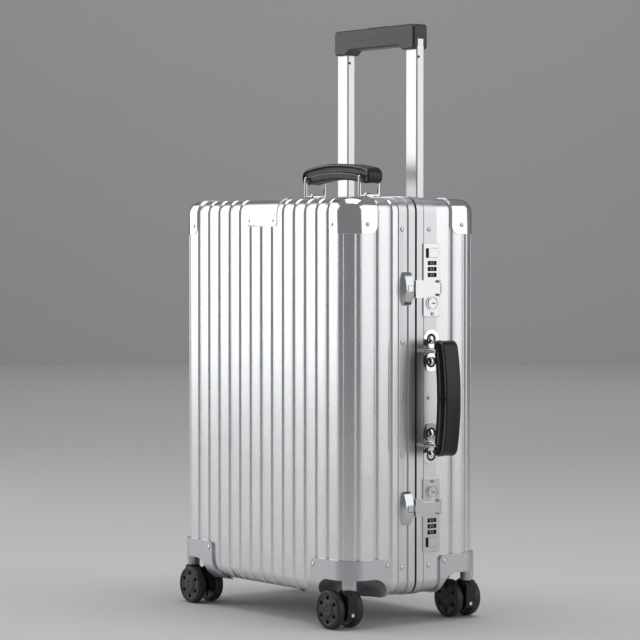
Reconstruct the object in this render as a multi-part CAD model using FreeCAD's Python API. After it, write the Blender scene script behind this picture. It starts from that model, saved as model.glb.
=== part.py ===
import FreeCAD, Part

import math
import os

V = FreeCAD.Vector
X_AXIS = V(1, 0, 0)
Y_AXIS = V(0, 1, 0)
Z_AXIS = V(0, 0, 1)

# A hard shell suitcase in ribbed aluminium, standing on four twin wheel casters.
# Millimetres, +Z up, origin on the floor under the middle of the case.
# The lid half lies in -Y, the half with the trolley in +Y, locks and side handle on +X.

# ---- case ----
case_width = 380.0
case_depth = 215.0
case_top = 550.0
case_bottom = 40.0
corner_radius = 26.0        # upright corners, seen from above
edge_radius = 18.0          # top and bottom edges
wall = 2.8                  # ribbed sheet, measured over its ribs
groove_width = 4.4
groove_depth = 1.4
groove_pitch = 24.6
lid_side_grooves = (45.5, 68.7)     # in from the broad face
back_side_grooves = (48.0, 24.6)
lid_corner_grooves = (23.0, 67.0)   # degrees round the upright corner
back_corner_grooves = (42.0, 78.0)
lining_thickness = 1.2
lining_to_tubes = 17.0      # the back lining hides the trolley tubes behind it

# ---- closing frame ----
seam = 3.0                  # gap between the two frame lips
lip_height = 2.6            # how far each part of the frame stands proud
step_height = 2.0
strip_height = 1.3
line_height = 0.5
lip_width = 10.5
line_width = 1.6
lid_strip_end = 27.0
step_end = 15.3
back_strip_end = 35.0
frame_inner_flange = 1.5
lip_depth = 6.0
seal_gap = 0.3
seal_cover = 2.5            # how far the seal lies under the skin
seal_thickness = 2.5

# ---- rivets ----
rivet_line = 22.0           # distance of the frame rivets from the seam
rivet_pitch = 72.4
rivet_head = 3.1
rivet_shank = 1.6
big_rivet_head = 5.4

# ---- corner caps, badge plate ----
cap_thickness = 1.2
cap_from_side = 39.0        # outline of the cap, in from each face of the case
cap_from_face = 46.5
cap_from_top = 46.0
cap_outline_radius = 11.0
cap_rivet_from_side = 32.0
cap_rivet_from_face = 30.5
cap_rivet_from_top = 34.0
badge_half_width = 35.5
badge_from_top = 36.0
badge_over_top = 22.0
badge_thickness = 0.8
badge_rivet_x = 27.0
badge_rivet_from_top = 28.0
badge_rivet_head = 2.4
badge_rivet_shank = 1.2

# ---- casters ----
swivel_inset = 10.5         # swivel axis, in from the side and the broad face
wheel_radius = 25.0
wheel_overhang = 4.3        # how far the wheels reach past the swivel axis
wheel_width = 12.5
fork_width = 15.0
wheel_side_gap = 0.6
axle_radius = 3.0
stem_radius = 4.0
running_clearance = 0.05
stem_length = 13.0
post_radius = 9.5
swivel_gap = 0.5
pocket_clearance = 2.4
housing_wall = 3.5
housing_proud = 3.4
housing_reach = 77.0        # along the broad face, in from the side
housing_to_strip = 5.0
housing_height = 48.0
housing_corner = 8.0
housing_flare = 30.0        # the shoe sweeps inboard this far along the bottom edge
pocket_dome = 20.0
housing_rivet_reach = 70.0
housing_rivet_inset = 6.5
housing_rivet_height = 39.5
hub_radius = 21.4
hub_window_radius = 3.1
hub_window_circle = 15.6
hub_boss_radius = 9.5

# ---- hinges on the -X side ----
hinge_axis_out = 5.0        # beyond the side of the case
hinge_spacing = 165.0
hinge_length = 40.0
knuckles = 5
knuckle_gap = 0.4
knuckle_radius = 3.6
hinge_pin_radius = 1.9
leaf_thickness = 1.4
leaf_reach = 11.3

# ---- carrying handles ----
bail_spacing = 121.0
handle_y = 25.0
bail_pivot_height = 4.2     # above the frame strip
bail_reach = 25.0
bail_leg_spacing = 32.0
wire_radius = 2.0
bracket_length = 54.0
bracket_width = 25.0
bracket_waist = 13.0
bracket_thickness = 1.8
bracket_rivet_offset = 14.2
bracket_rivet_shank = 2.4
grip_end = 14.5             # of the grip, past each bail
grip_width = 26.0
grip_thickness = 23.0
grip_arch = 8.0
grip_pin_below_top = 11.0
side_handle_drop = 2.0      # under the middle height of the case

# ---- trolley ----
trolley_from_side = 113.5
trolley_from_back = 17.5
inner_tube = (24.0, 13.0)
tube_wall = 1.3
tube_clearance = 0.3
trolley_extension = 235.0   # how far the grip is pulled out
tube_foot_height = 10.0     # bottom of the fixed tubes, over the bottom of the case
tube_end_step = 3.0         # each stage ends this much above the one round it
grip_depth = 24.0
grip_end_height = 34.0
grip_bar_height = 28.0
grip_corner = 5.0
grip_seam_drop = 16.0       # parting line round the grip
grip_seam_width = 0.6
grip_seam_depth = 0.5
button_length = 45.0
button_width = 9.0
button_travel = 3.0
button_proud = 1.2
cup_clearance = 2.0
cup_wall = 2.0
bezel_proud = 2.0
bezel_margin = 8.0

# ---- locks (upper one; the lower one is its mirror image, heights from the middle of its plate) ----
lock_mirror_drop = 2.6      # mirror plane under the middle height of the case
lock_offset = 152.1         # middle of the plate over the mirror plane
lock_plate_length = 95.6
lock_plate_y = (10.8, 38.5)
lock_plate_thickness = 3.0
lock_body_depth = 12.0
lock_body_y = (14.3, 36.5)
lock_body_end = 3.0         # the lock case ends this far inside its plate
lever_drop = 10.5
lever_width = 14.0
lever_pivot_y = 38.0
lever_thickness = 3.6
lever_barrel_radius = 2.0
lever_pin_radius = 1.2
lever_claw_y = (-6.0, 7.0)
lever_claw_drop = 11.35
lever_claw_width = 23.3
tongue_reach = 7.0
tongue_inset = 3.0
dial_y = 25.2
dial_radius = 6.9
dial_height = 4.9
dial_pitch = 7.7
first_dial_rise = 22.0
dial_proud = 0.9
dial_shaft_radius = 1.5
slider_window_y = (14.9, 34.3)
slider_rise = 34.9
slider_width = 13.0
slider_travel = 4.0
key_y = 25.2
key_drop = 30.0
key_radius = 7.0
key_ring_radius = 10.0
key_groove = (8.6, 0.9)     # radius and depth of the sunk ring round the key barrel
lug_height = 4.5
key_slot = (8.4, 1.6)
indicator_drop = 43.8
indicator_radius = 2.4
keeper_y = (-24.5, -8.5)
keeper_drop = 11.0
keeper_length = 43.0
keeper_height = 8.5
keeper_crown = 7.3          # its middle stands this much higher than its ends
keeper_nose = 78.5          # radius of its round end away from the lock
keeper_nose_drop = 25.0
part_gap = 0.3              # between pieces that move past each other
fit_gap = 0.5

# ---- worked out ----
half_width = case_width / 2
half_depth = case_depth / 2
half_seam = seam / 2
mid_height = (case_top + case_bottom) / 2
grooves_each_side = int((half_width - corner_radius - groove_width) / groove_pitch)
lip_end = half_seam + lip_width
line_end = lip_end + line_width
sheet_edge = lip_end + 0.5
mid_tube = tuple(s + 2 * (tube_wall + tube_clearance) for s in inner_tube)
outer_tube = tuple(s + 2 * (tube_wall + tube_clearance) for s in mid_tube)
cap_x = half_width - cap_from_side
cap_y = half_depth - cap_from_face
cap_z = case_top - cap_from_top
cap_rivet_x = half_width - cap_rivet_from_side
cap_rivet_y = half_depth - cap_rivet_from_face
cap_rivet_z = case_top - cap_rivet_from_top
badge_bottom = case_top - badge_from_top
badge_rivet_z = case_top - badge_rivet_from_top
swivel_x = half_width - swivel_inset
swivel_y = half_depth - swivel_inset
caster_trail = wheel_radius - wheel_overhang
post_bottom = 2 * wheel_radius
pocket_ceiling = post_bottom + stem_length
wheel_offset = fork_width / 2 + wheel_side_gap
pocket_radius = math.hypot(caster_trail + wheel_radius, wheel_offset + wheel_width) + pocket_clearance
housing_x = half_width - housing_reach
housing_y = back_strip_end + housing_to_strip
housing_top = case_bottom + housing_height
housing_rivet_x = half_width - housing_rivet_reach
housing_rivet_y = housing_y + housing_rivet_inset
housing_rivet_z = case_bottom + housing_rivet_height
hinge_axis_x = half_width + hinge_axis_out
hinge_heights = (mid_height - hinge_spacing, mid_height, mid_height + hinge_spacing)
grip_length = bail_spacing + 2 * grip_end
side_handle_z = mid_height - side_handle_drop
trolley_x = half_width - trolley_from_side
trolley_y = half_depth - trolley_from_back
back_lining_floor = trolley_y - lining_to_tubes
tube_foot = case_bottom + tube_foot_height
grip_top = case_top + trolley_extension
grip_half_length = trolley_x + inner_tube[0] / 2
cup_floor = case_top - grip_end_height - 1.5


def around(middle, length):
    """Both ends of a length laid about its middle."""
    return (middle - length / 2, middle + length / 2)


lock_mirror_z = mid_height - lock_mirror_drop
lock_z = lock_mirror_z + lock_offset
lock_plate_z = around(lock_z, lock_plate_length)
lever_z = around(lock_z - lever_drop, lever_width)
lever_claw_z = around(lock_z - lever_claw_drop, lever_claw_width)
tongue_z = around(lock_z - lever_drop, lever_width - 2 * tongue_inset)
first_dial_z = lock_z + first_dial_rise
slider_window_z = around(lock_z + slider_rise, slider_width)
key_z = lock_z - key_drop
lock_body_z = (key_z - key_ring_radius - 1.5, lock_plate_z[1] - lock_body_end)
indicator_z = lock_z - indicator_drop
keeper_z = around(lock_z - keeper_drop, keeper_length)
plate_face = half_width + strip_height + lock_plate_thickness
dial_x = plate_face + dial_proud - dial_radius
lever_pivot_x = plate_face + fit_gap + lever_barrel_radius


# ---- shared helpers ----

def box(x0, x1, y0, y1, z0, z1):
    """A box between two corners, given in any order."""
    low = V(min(x0, x1), min(y0, y1), min(z0, z1))
    return Part.makeBox(abs(x1 - x0), abs(y1 - y0), abs(z1 - z0), low)


def rod(centre, axis, radius, length):
    """A cylinder centred on a point."""
    return Part.makeCylinder(radius, length, centre - axis * (length / 2), axis)


def edges_along(shape, axis):
    """The straight edges of a shape that run along one axis."""
    found = []
    for edge in shape.Edges:
        if not isinstance(edge.Curve, Part.Line):
            continue
        if abs(abs(edge.tangentAt(edge.FirstParameter).dot(axis)) - 1) < 1e-6:
            found.append(edge)
    return found


def rounded(shape, axis, radius):
    """Rounds every straight edge that runs along one axis."""
    return shape.makeFillet(radius, edges_along(shape, axis))


def fuse(shapes):
    """One solid out of several that touch."""
    whole = shapes[0]
    for shape in shapes[1:]:
        whole = whole.fuse(shape)
    return whole.removeSplitter()


def mirror_x(shape):
    return shape.mirror(V(0, 0, 0), X_AXIS)


def mirror_lock(shape):
    return shape.mirror(V(0, 0, lock_mirror_z), Z_AXIS)


def save(name, shapes):
    """Writes one node as a group of its closed solids."""
    solids = []
    for shape in shapes:
        solids.extend(shape.Solids)
    for solid in solids:
        if not solid.isValid() or solid.Volume <= 0:
            print("bad solid in", name, solid.Volume)
    Part.makeCompound(solids).exportStep("parts/" + name + ".step")
    print(name, len(solids), round(sum(s.Volume for s in solids)))


# ---- case skin ----

def case_block(inset):
    """The whole case as one rounded block, its skin moved inwards by inset."""
    low_z = case_bottom + inset
    high_z = case_top - inset
    block = box(inset - half_width, half_width - inset, inset - half_depth, half_depth - inset, low_z, high_z)
    block = rounded(block, Z_AXIS, corner_radius - inset)
    rims = []
    for edge in block.Edges:
        if abs(edge.BoundBox.ZLength) < 1e-6:
            rims.append(edge)
    return block.makeFillet(edge_radius - inset, rims)


def groove_bars(side, strip_end, side_grooves, corner_angles):
    """Bars that press the grooves into one half; side is -1 for the lid and +1 for the back."""
    reach = 10.0
    half_groove = groove_width / 2
    bars = []
    for k in range(-grooves_each_side, grooves_each_side + 1):
        x = k * groove_pitch
        bars.append(box(x - half_groove, x + half_groove, side * (strip_end + line_width),
                        side * (half_depth + reach), case_bottom - reach, case_top + reach))
    for inset in side_grooves:
        y = half_depth - inset
        if y < strip_end + groove_width:
            continue
        for x_side in (-1, 1):
            bars.append(box(x_side * (half_width - edge_radius), x_side * (half_width + reach),
                            side * y - half_groove, side * y + half_groove,
                            case_bottom - reach, case_top + reach))
    for angle in corner_angles:
        for x_side in (-1, 1):
            bar = box(reach, corner_radius + reach, -half_groove, half_groove,
                      case_bottom - reach, case_top + reach)
            turn = angle * side if x_side > 0 else 180 - angle * side
            bar.rotate(V(0, 0, 0), Z_AXIS, turn)
            bar.translate(V(x_side * (half_width - corner_radius), side * (half_depth - corner_radius), 0))
            bars.append(bar)
    floor = case_block(groove_depth)
    return [bar.cut(floor) for bar in bars]


def corner_bowl(x_side, side, grow):
    """The round space over one caster, grown by grow."""
    return Part.makeCylinder(pocket_radius + grow, pocket_ceiling + grow,
                             V(x_side * swivel_x, side * swivel_y, 0), Z_AXIS)


def corner_bowls(side):
    """Room for both wheel housings of one half."""
    return [corner_bowl(x_side, side, housing_wall) for x_side in (-1, 1)]


def half_shell(side, strip_end, side_grooves, corner_angles, holes):
    """One half of the case as a hollow ribbed shell, open at the seam."""
    skin = case_block(0).cut(case_block(wall))
    keep = box(-case_width, case_width, side * sheet_edge, side * case_depth, 0, 2 * case_top)
    shell = skin.common(keep)
    shell = shell.cut(groove_bars(side, strip_end, side_grooves, corner_angles))
    return shell.cut(corner_bowls(side) + holes)


def half_lining(side, floor_y, strip_end, holes):
    """Fabric lining glued inside one half, open at the seam."""
    tray = case_block(wall).common(
        box(-case_width, case_width, side * (strip_end + 0.5), side * floor_y, 0, 2 * case_top))
    room = case_block(wall + lining_thickness).common(
        box(-case_width, case_width, 0, side * (floor_y - lining_thickness), 0, 2 * case_top))
    return tray.cut([room] + corner_bowls(side) + holes)


# ---- closing frame ----

def frame_block(proud, y0, y1):
    """A slab of the case's front outline, grown by proud, between two planes."""
    slab = box(-half_width - proud, half_width + proud, y0, y1, case_bottom - proud, case_top + proud)
    return rounded(slab, Y_AXIS, edge_radius + proud)


def frame_ring(outer, inner, y0, y1):
    """A ring round the case between two heights over its skin."""
    pad = 1.0
    return frame_block(outer, y0, y1).cut(frame_block(inner, min(y0, y1) - pad, max(y0, y1) + pad))


def closing_frame(side, bands, strip_end, holes):
    """A channel that clasps the sheet edge; bands are (start, end, height) of its outside."""
    pieces = [frame_ring(lip_height, -lip_depth, side * half_seam, side * lip_end)]
    for start, end, height in bands:
        pieces.append(frame_ring(height, 0, side * start, side * end))
    pieces.append(frame_ring(-wall, -wall - frame_inner_flange, side * sheet_edge, side * strip_end))
    neck = frame_ring(line_height, -lip_depth, side * (lip_end - 0.5), side * sheet_edge)
    return fuse(pieces + [neck]).cut(corner_bowls(side) + holes)


# ---- rivets ----

def rivet_parts(point, outward, head, shank, depth):
    """A domed head standing on a point, and its shank going in by depth."""
    ball = head * 1.6
    rise = math.sqrt(ball * ball - head * head)
    dome = Part.makeSphere(ball, point - outward * rise, outward, math.degrees(math.asin(rise / ball)), 90, 360)
    pin = Part.makeCylinder(shank, depth, point - outward * depth, outward)
    return dome, pin


def make_rivets(places, head, shank, depth):
    """Whole rivets, and their shanks alone for drilling; places are (point, outward)."""
    whole = []
    pins = []
    for point, outward in places:
        dome, pin = rivet_parts(point, outward, head, shank, depth)
        whole.append(dome.fuse(pin).removeSplitter())
        pins.append(pin)
    return whole, pins


def is_clear(position, taken):
    """Whether a frame rivet misses every fitting, each one given by its two ends."""
    room = rivet_head + 1.0
    return all(position < low - room or position > high + room for low, high in taken)


def frame_rivet_places(side, taken_on_side, taken_on_top):
    """Rivets round the frame of one half, left out where a fitting is in the way."""
    y = side * rivet_line
    skin = half_width + strip_height
    places = []
    steps_up = int(((case_top - case_bottom) / 2 - edge_radius - rivet_head) / rivet_pitch)
    for k in range(-steps_up, steps_up + 1):
        z = lock_mirror_z + k * rivet_pitch
        places.append((V(-skin, y, z), V(-1, 0, 0)))
        if is_clear(z, taken_on_side):
            places.append((V(skin, y, z), X_AXIS))
    steps_across = int((half_width - edge_radius - rivet_head) / rivet_pitch)
    for k in range(-steps_across, steps_across + 1):
        x = k * rivet_pitch
        places.append((V(x, y, case_bottom - strip_height), V(0, 0, -1)))
        if is_clear(x, taken_on_top):
            places.append((V(x, y, case_top + strip_height), Z_AXIS))
    return places


def both_ways(middle, ends):
    """The same stretch on both sides of a middle."""
    return [ends, (2 * middle - ends[1], 2 * middle - ends[0])]


def cap_rivet_places(side):
    places = []
    for x_side in (-1, 1):
        places.append((V(x_side * cap_rivet_x, side * (half_depth + cap_thickness), cap_rivet_z), V(0, side, 0)))
        places.append((V(x_side * (half_width + cap_thickness), side * cap_rivet_y, cap_rivet_z), V(x_side, 0, 0)))
        places.append((V(x_side * cap_rivet_x, side * cap_rivet_y, case_top + cap_thickness), Z_AXIS))
    return places


def housing_rivet_places(side):
    places = []
    for x_side in (-1, 1):
        places.append((V(x_side * housing_rivet_x, side * (half_depth + housing_proud), housing_rivet_z),
                       V(0, side, 0)))
        places.append((V(x_side * (half_width + housing_proud), side * housing_rivet_y, housing_rivet_z),
                       V(x_side, 0, 0)))
    return places


# ---- corner caps, badge plate, wheel housings ----

def corner_caps(side, pins):
    """Formed metal caps over the two top corners of one half."""
    layer = case_block(-cap_thickness).cut(case_block(0))
    caps = []
    for x_side in (-1, 1):
        area = box(x_side * cap_x, x_side * case_width, side * cap_y, side * case_depth, cap_z, case_top + 20)
        corner = V(x_side * cap_x, side * cap_y, cap_z)
        near = [e for e in area.Edges if any((v.Point - corner).Length < 1e-6 for v in e.Vertexes)]
        area = area.makeFillet(cap_outline_radius, near)
        caps.append(layer.common(area).cut(pins))
    return caps


def badge_plate(pins):
    """Blank name plate wrapped over the top edge of the lid."""
    layer = case_block(-badge_thickness).cut(case_block(0))
    area = box(-badge_half_width, badge_half_width, -case_depth, badge_over_top - half_depth,
               badge_bottom, case_top + 20)
    area = area.makeFillet(5.0, [e for e in edges_along(area, Y_AXIS) if e.Vertexes[0].Z < badge_bottom + 1])
    return layer.common(area).cut(pins)


def wheel_housing(side, pins):
    """Corner shoes with a round wheel space and a post for each caster stem."""
    outside = case_block(-housing_proud)
    skin = outside.cut(case_block(0))
    shoes = []
    for x_side in (-1, 1):
        area = box(x_side * housing_x, x_side * case_width, side * housing_y, side * case_depth, 0, housing_top)
        inner = V(x_side * housing_x, side * housing_y, housing_top)
        level = [e for e in area.Edges if abs(e.BoundBox.ZMin - housing_top) < 1e-6
                 and any((v.Point - inner).Length < 1e-6 for v in e.Vertexes)]
        area = area.makeFillet(housing_corner, level)
        flare = box(x_side * (housing_x - housing_flare), x_side * (housing_x + 1), side * (swivel_y - 1),
                    side * case_depth, 0, case_bottom + housing_flare)
        sweep = V(x_side * (housing_x - housing_flare), side * half_depth, case_bottom + housing_flare)
        flare = flare.cut(rod(sweep, Y_AXIS, housing_flare, 2 * case_depth))
        shoe = skin.common(area.fuse(flare))
        bowl = corner_bowl(x_side, side, housing_wall)
        shoe = shoe.fuse(bowl.common(outside)).removeSplitter()
        pocket = corner_bowl(x_side, side, 0)
        top_rim = [e for e in pocket.Edges if e.BoundBox.ZLength < 1e-6 and e.BoundBox.ZMin > 1]
        shoe = shoe.cut(pocket.makeFillet(pocket_dome, top_rim))
        centre = V(x_side * swivel_x, side * swivel_y, 0)
        post = Part.makeCylinder(post_radius, pocket_ceiling + 1 - post_bottom, centre + V(0, 0, post_bottom), Z_AXIS)
        bore = Part.makeCylinder(stem_radius + running_clearance, pocket_ceiling + 1.5 - post_bottom,
                                 centre + V(0, 0, post_bottom - 0.5), Z_AXIS)
        shoes.append(shoe.fuse(post.common(outside)).removeSplitter().cut([bore] + pins))
    return shoes


# ---- casters ----

def caster_fork():
    """Fork with its stem, and the axle through it; the swivel axis is at the origin, trailing in -X."""
    top = post_bottom - swivel_gap
    head = Part.makeCylinder(post_radius, 6.0, V(0, 0, top - 6.0), Z_AXIS)
    head = head.makeFillet(1.0, [e for e in head.Edges if e.BoundBox.ZLength < 1e-6])
    half_fork = fork_width / 2
    toe = wheel_radius - 12.0
    heel = -caster_trail - 8.0
    outline = [
        V(7.5, -half_fork, top - 2.0), V(8.0, -half_fork, top - 7.0), V(7.0, -half_fork, toe + 4.0),
        V(3.0, -half_fork, toe), V(heel + 5.0, -half_fork, toe), V(heel, -half_fork, wheel_radius + 2.0),
        V(-9.0, -half_fork, top - 3.0), V(-7.5, -half_fork, top - 2.0),
    ]
    plate = Part.Face(Part.makePolygon(outline + outline[:1])).extrude(V(0, fork_width, 0))
    plate = plate.makeFillet(1.5, edges_along(plate, Y_AXIS))
    stem = Part.makeCylinder(stem_radius, pocket_ceiling - top - 1.0, V(0, 0, top - 1.0), Z_AXIS)
    axle_centre = V(-caster_trail, 0, wheel_radius)
    axle_length = 2 * (wheel_offset + wheel_width) - 1.0
    axle = rod(axle_centre, Y_AXIS, axle_radius, axle_length)
    return [fuse([head, plate, stem]).cut(axle), axle]


def wheel(y_side):
    """One wheel: a tyre round a hub with six round windows; its inner face toward the fork."""
    centre = V(-caster_trail, y_side * (wheel_offset + wheel_width / 2), wheel_radius)
    tyre = rod(centre, Y_AXIS, wheel_radius, wheel_width)
    tyre = tyre.makeFillet(2.6, [e for e in tyre.Edges if isinstance(e.Curve, Part.Circle)])
    core = rod(centre, Y_AXIS, hub_radius, wheel_width)
    tyre = tyre.cut(core)
    hub = rod(centre, Y_AXIS, hub_radius, wheel_width - 1.6)
    bore = rod(centre, Y_AXIS, axle_radius + running_clearance, 2 * wheel_width)
    boss = rod(centre, Y_AXIS, hub_boss_radius, wheel_width - 0.6)
    hub = hub.fuse(boss).removeSplitter().cut(bore)
    for k in range(6):
        angle = math.radians(60 * k + 30)
        at = centre + V(math.cos(angle), 0, math.sin(angle)) * hub_window_circle
        hub = hub.cut(rod(at, Y_AXIS, hub_window_radius, 2 * wheel_width))
    return [tyre, hub]


def place_caster(shapes, x_side, side):
    """Moves pieces made at the origin to one corner, trailing inboard."""
    placed = []
    for shape in shapes:
        piece = shape.copy() if x_side > 0 else mirror_x(shape)
        piece.translate(V(x_side * swivel_x, side * swivel_y, 0))
        placed.append(piece)
    return placed


# ---- hinges ----

def hinge_set():
    """Leaves of both halves and the pins, for all three hinges."""
    back = []
    lid = []
    pins = []
    axis = V(-hinge_axis_x, 0, 0)
    face = -half_width - lip_height
    slot = hinge_length / knuckles
    for z in hinge_heights:
        low = z - hinge_length / 2
        pin = rod(axis + V(0, 0, z), Z_AXIS, hinge_pin_radius, hinge_length)
        pins.append(pin)
        for side, group, fit in ((1, back, 0), (-1, lid, running_clearance)):
            leaf = box(face, face - leaf_thickness, side * 4.6, side * leaf_reach, low, low + hinge_length)
            solid = leaf
            for k in range(knuckles):
                if (k % 2 == 0) != (side > 0):
                    continue
                z0 = low + k * slot + knuckle_gap / 2
                z1 = low + (k + 1) * slot - knuckle_gap / 2
                barrel = Part.makeCylinder(knuckle_radius, z1 - z0, axis + V(0, 0, z0), Z_AXIS)
                tab = box(face, face - leaf_thickness, side * 1.5, side * 5.0, z0, z1)
                solid = solid.fuse(barrel).fuse(tab)
            hole = rod(axis + V(0, 0, z), Z_AXIS, hinge_pin_radius + fit, hinge_length + 2)
            group.append(solid.removeSplitter().cut(hole))
    return back, lid, pins


def hinge_clearances():
    """Room round the knuckles, taken out of both frame lips."""
    return [rod(V(-hinge_axis_x, 0, z), Z_AXIS, knuckle_radius + 0.8, hinge_length + 2.0) for z in hinge_heights]


# ---- carrying handles, made for the top face with the pivots along Y ----

def handle_bracket(x, height):
    """Waisted plate with two domed rivets; the bail bar passes over its waist under a strap."""
    plate = box(x - bracket_length / 2, x + bracket_length / 2, handle_y - bracket_width / 2,
                handle_y + bracket_width / 2, height, height + bracket_thickness)
    plate = rounded(plate, Z_AXIS, bracket_width / 2 - 0.5)
    bite = (bracket_width - bracket_waist) / 2
    for side in (-1, 1):
        plate = plate.cut(Part.makeCylinder(bite * 1.3, 20, V(x, handle_y + side * (bracket_width / 2 + 1.2), height - 9),
                                            Z_AXIS))
    bar_z = height + bail_pivot_height
    strap = rod(V(x, handle_y, bar_z), Y_AXIS, wire_radius + 1.6, bracket_waist - 1.0)
    strap = strap.common(box(x - 9, x + 9, 0, 2 * handle_y, height + 0.2, height + 30))
    foot = box(x - wire_radius - 3.2, x + wire_radius + 3.2, handle_y - bracket_waist / 2 + 0.5,
               handle_y + bracket_waist / 2 - 0.5, height + bracket_thickness - 0.4, height + bracket_thickness + 1.0)
    body = fuse([plate, strap, foot])
    tunnel = rod(V(x, handle_y, bar_z), Y_AXIS, wire_radius + running_clearance, 2 * bail_leg_spacing)
    rivets = []
    pins = []
    for side in (-1, 1):
        point = V(x + side * bracket_rivet_offset, handle_y, height + bracket_thickness)
        dome, pin = rivet_parts(point, Z_AXIS, big_rivet_head, bracket_rivet_shank, bracket_thickness + 5.0)
        rivets.append(dome.fuse(pin).removeSplitter())
        pins.append(pin)
    return body.cut([tunnel] + pins), rivets, pins


def handle_bail(x, height):
    """Closed wire loop: a bar through the bracket, two legs, and a pin through the grip."""
    low = height + bail_pivot_height
    high = low + bail_reach
    half = bail_leg_spacing / 2
    corners = [V(x, handle_y - half, low), V(x, handle_y + half, low),
               V(x, handle_y + half, high), V(x, handle_y - half, high)]
    loop = []
    for k in range(4):
        start = corners[k]
        end = corners[(k + 1) % 4]
        loop.append(Part.makeCylinder(wire_radius, (end - start).Length, start, end - start))
        loop.append(Part.makeSphere(wire_radius, start))
    return fuse(loop)


def grip_body(height):
    """Arched leather covered grip, with holes for both bail pins."""
    pin_z = height + bail_pivot_height + bail_reach
    half = grip_length / 2
    low = pin_z + grip_pin_below_top - grip_thickness
    high = pin_z + grip_pin_below_top
    top_arc = Part.Arc(V(-half, 0, high), V(0, 0, high + grip_arch), V(half, 0, high)).toShape()
    low_arc = Part.Arc(V(half, 0, low), V(0, 0, low + grip_arch), V(-half, 0, low)).toShape()
    right = Part.makeLine(V(half, 0, high), V(half, 0, low))
    left = Part.makeLine(V(-half, 0, low), V(-half, 0, high))
    side = Part.Face(Part.Wire([top_arc, right, low_arc, left]))
    body = side.extrude(V(0, grip_width, 0))
    body.translate(V(0, handle_y - grip_width / 2, 0))
    body = body.makeFillet(4.0, edges_along(body, Y_AXIS))
    body = body.makeFillet(3.0, [e for e in body.Edges if e.BoundBox.YLength < 1e-6])
    for x_side in (-1, 1):
        pin = V(x_side * bail_spacing / 2, handle_y, pin_z)
        body = body.cut(rod(pin, Y_AXIS, wire_radius + running_clearance, 2 * grip_width))
    return body


def handle_set(height):
    """Brackets with rivets, two bails and the grip for a face at a given height."""
    brackets = []
    pins = []
    bails = []
    for x_side in (-1, 1):
        x = x_side * bail_spacing / 2
        body, rivets, shanks = handle_bracket(x, height)
        brackets.extend([body] + rivets)
        pins.extend(shanks)
        bails.append(handle_bail(x, height))
    return brackets, pins, bails, grip_body(height)


def to_side(shape):
    """Turns a piece made for the top face round to the +X face, its +X end becoming the lower one."""
    piece = shape.copy()
    piece.translate(V(0, 0, -case_top))
    piece.rotate(V(0, 0, 0), Y_AXIS, 90)
    piece.translate(V(half_width, 0, side_handle_z))
    return piece


# ---- trolley ----

def tube(size, z0, z1, bored):
    """A square cornered tube of outer size (X, Y), for both sides."""
    pair = []
    for x_side in (-1, 1):
        x = x_side * trolley_x
        body = box(x - size[0] / 2, x + size[0] / 2, trolley_y - size[1] / 2, trolley_y + size[1] / 2, z0, z1)
        body = rounded(body, Z_AXIS, 2.0)
        if bored:
            core = box(x - size[0] / 2 + tube_wall, x + size[0] / 2 - tube_wall,
                       trolley_y - size[1] / 2 + tube_wall, trolley_y + size[1] / 2 - tube_wall, z0 - 1, z1 + 1)
            body = body.cut(rounded(core, Z_AXIS, 2.0 - tube_wall))
        pair.append(body)
    return pair


def inner_tubes(pins):
    """The pulled out tubes, drilled for their stop pins."""
    low = tube_foot + 2 * tube_end_step + trolley_extension
    high = grip_top - grip_end_height + 14.0
    return [body.cut(pins) for body in tube(inner_tube, low, high, True)]


def stop_pins():
    """Flush pins near the top of each tube, on the face toward the locks."""
    pins = []
    for x_side in (-1, 1):
        x = x_side * trolley_x + inner_tube[0] / 2
        pins.append(Part.makeCylinder(1.9, tube_wall, V(x - tube_wall, trolley_y - 3.2, grip_top - 44.0), X_AXIS))
    return pins


def trolley_grip(tubes):
    """Moulded bar with deeper ends, where the tubes go in, and a slot for its button."""
    depth = grip_depth / 2
    low = grip_top - grip_end_height
    bar_low = grip_top - grip_bar_height
    inner = trolley_x - inner_tube[0] / 2 - 2.0
    outline = [V(-grip_half_length, trolley_y - depth, grip_top), V(grip_half_length, trolley_y - depth, grip_top),
               V(grip_half_length, trolley_y - depth, low), V(inner, trolley_y - depth, low),
               V(inner - 8, trolley_y - depth, bar_low), V(8 - inner, trolley_y - depth, bar_low),
               V(-inner, trolley_y - depth, low), V(-grip_half_length, trolley_y - depth, low)]
    bar = Part.Face(Part.makePolygon(outline + outline[:1])).extrude(V(0, grip_depth, 0))
    outer = [e for e in edges_along(bar, Y_AXIS) if abs(e.Vertexes[0].X) > grip_half_length - 1]
    bar = bar.makeFillet(grip_corner, outer)
    long_edges = [e for e in bar.Edges if e.BoundBox.YLength < 1e-6]
    bar = bar.makeFillet(3.0, long_edges)
    well = rounded(box(-button_length / 2 - part_gap, button_length / 2 + part_gap,
                       trolley_y - button_width / 2 - part_gap, trolley_y + button_width / 2 + part_gap,
                       grip_top - 10, grip_top + 5), Z_AXIS, 3.0 + part_gap)
    sockets = [box(b.BoundBox.XMin, b.BoundBox.XMax, b.BoundBox.YMin, b.BoundBox.YMax, low - 5, b.BoundBox.ZMax)
               for b in tubes]
    sockets = [rounded(s, Z_AXIS, 2.0) for s in sockets]
    seam_z = around(grip_top - grip_seam_drop, grip_seam_width)
    inner_x = grip_half_length - grip_seam_depth
    inner_y = depth - grip_seam_depth
    line = box(-grip_half_length - 1, grip_half_length + 1, trolley_y - depth - 1, trolley_y + depth + 1, *seam_z)
    line = line.cut(rounded(box(-inner_x, inner_x, trolley_y - inner_y, trolley_y + inner_y, *seam_z), Z_AXIS, 2.5))
    return bar.cut([well, line] + sockets)


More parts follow.
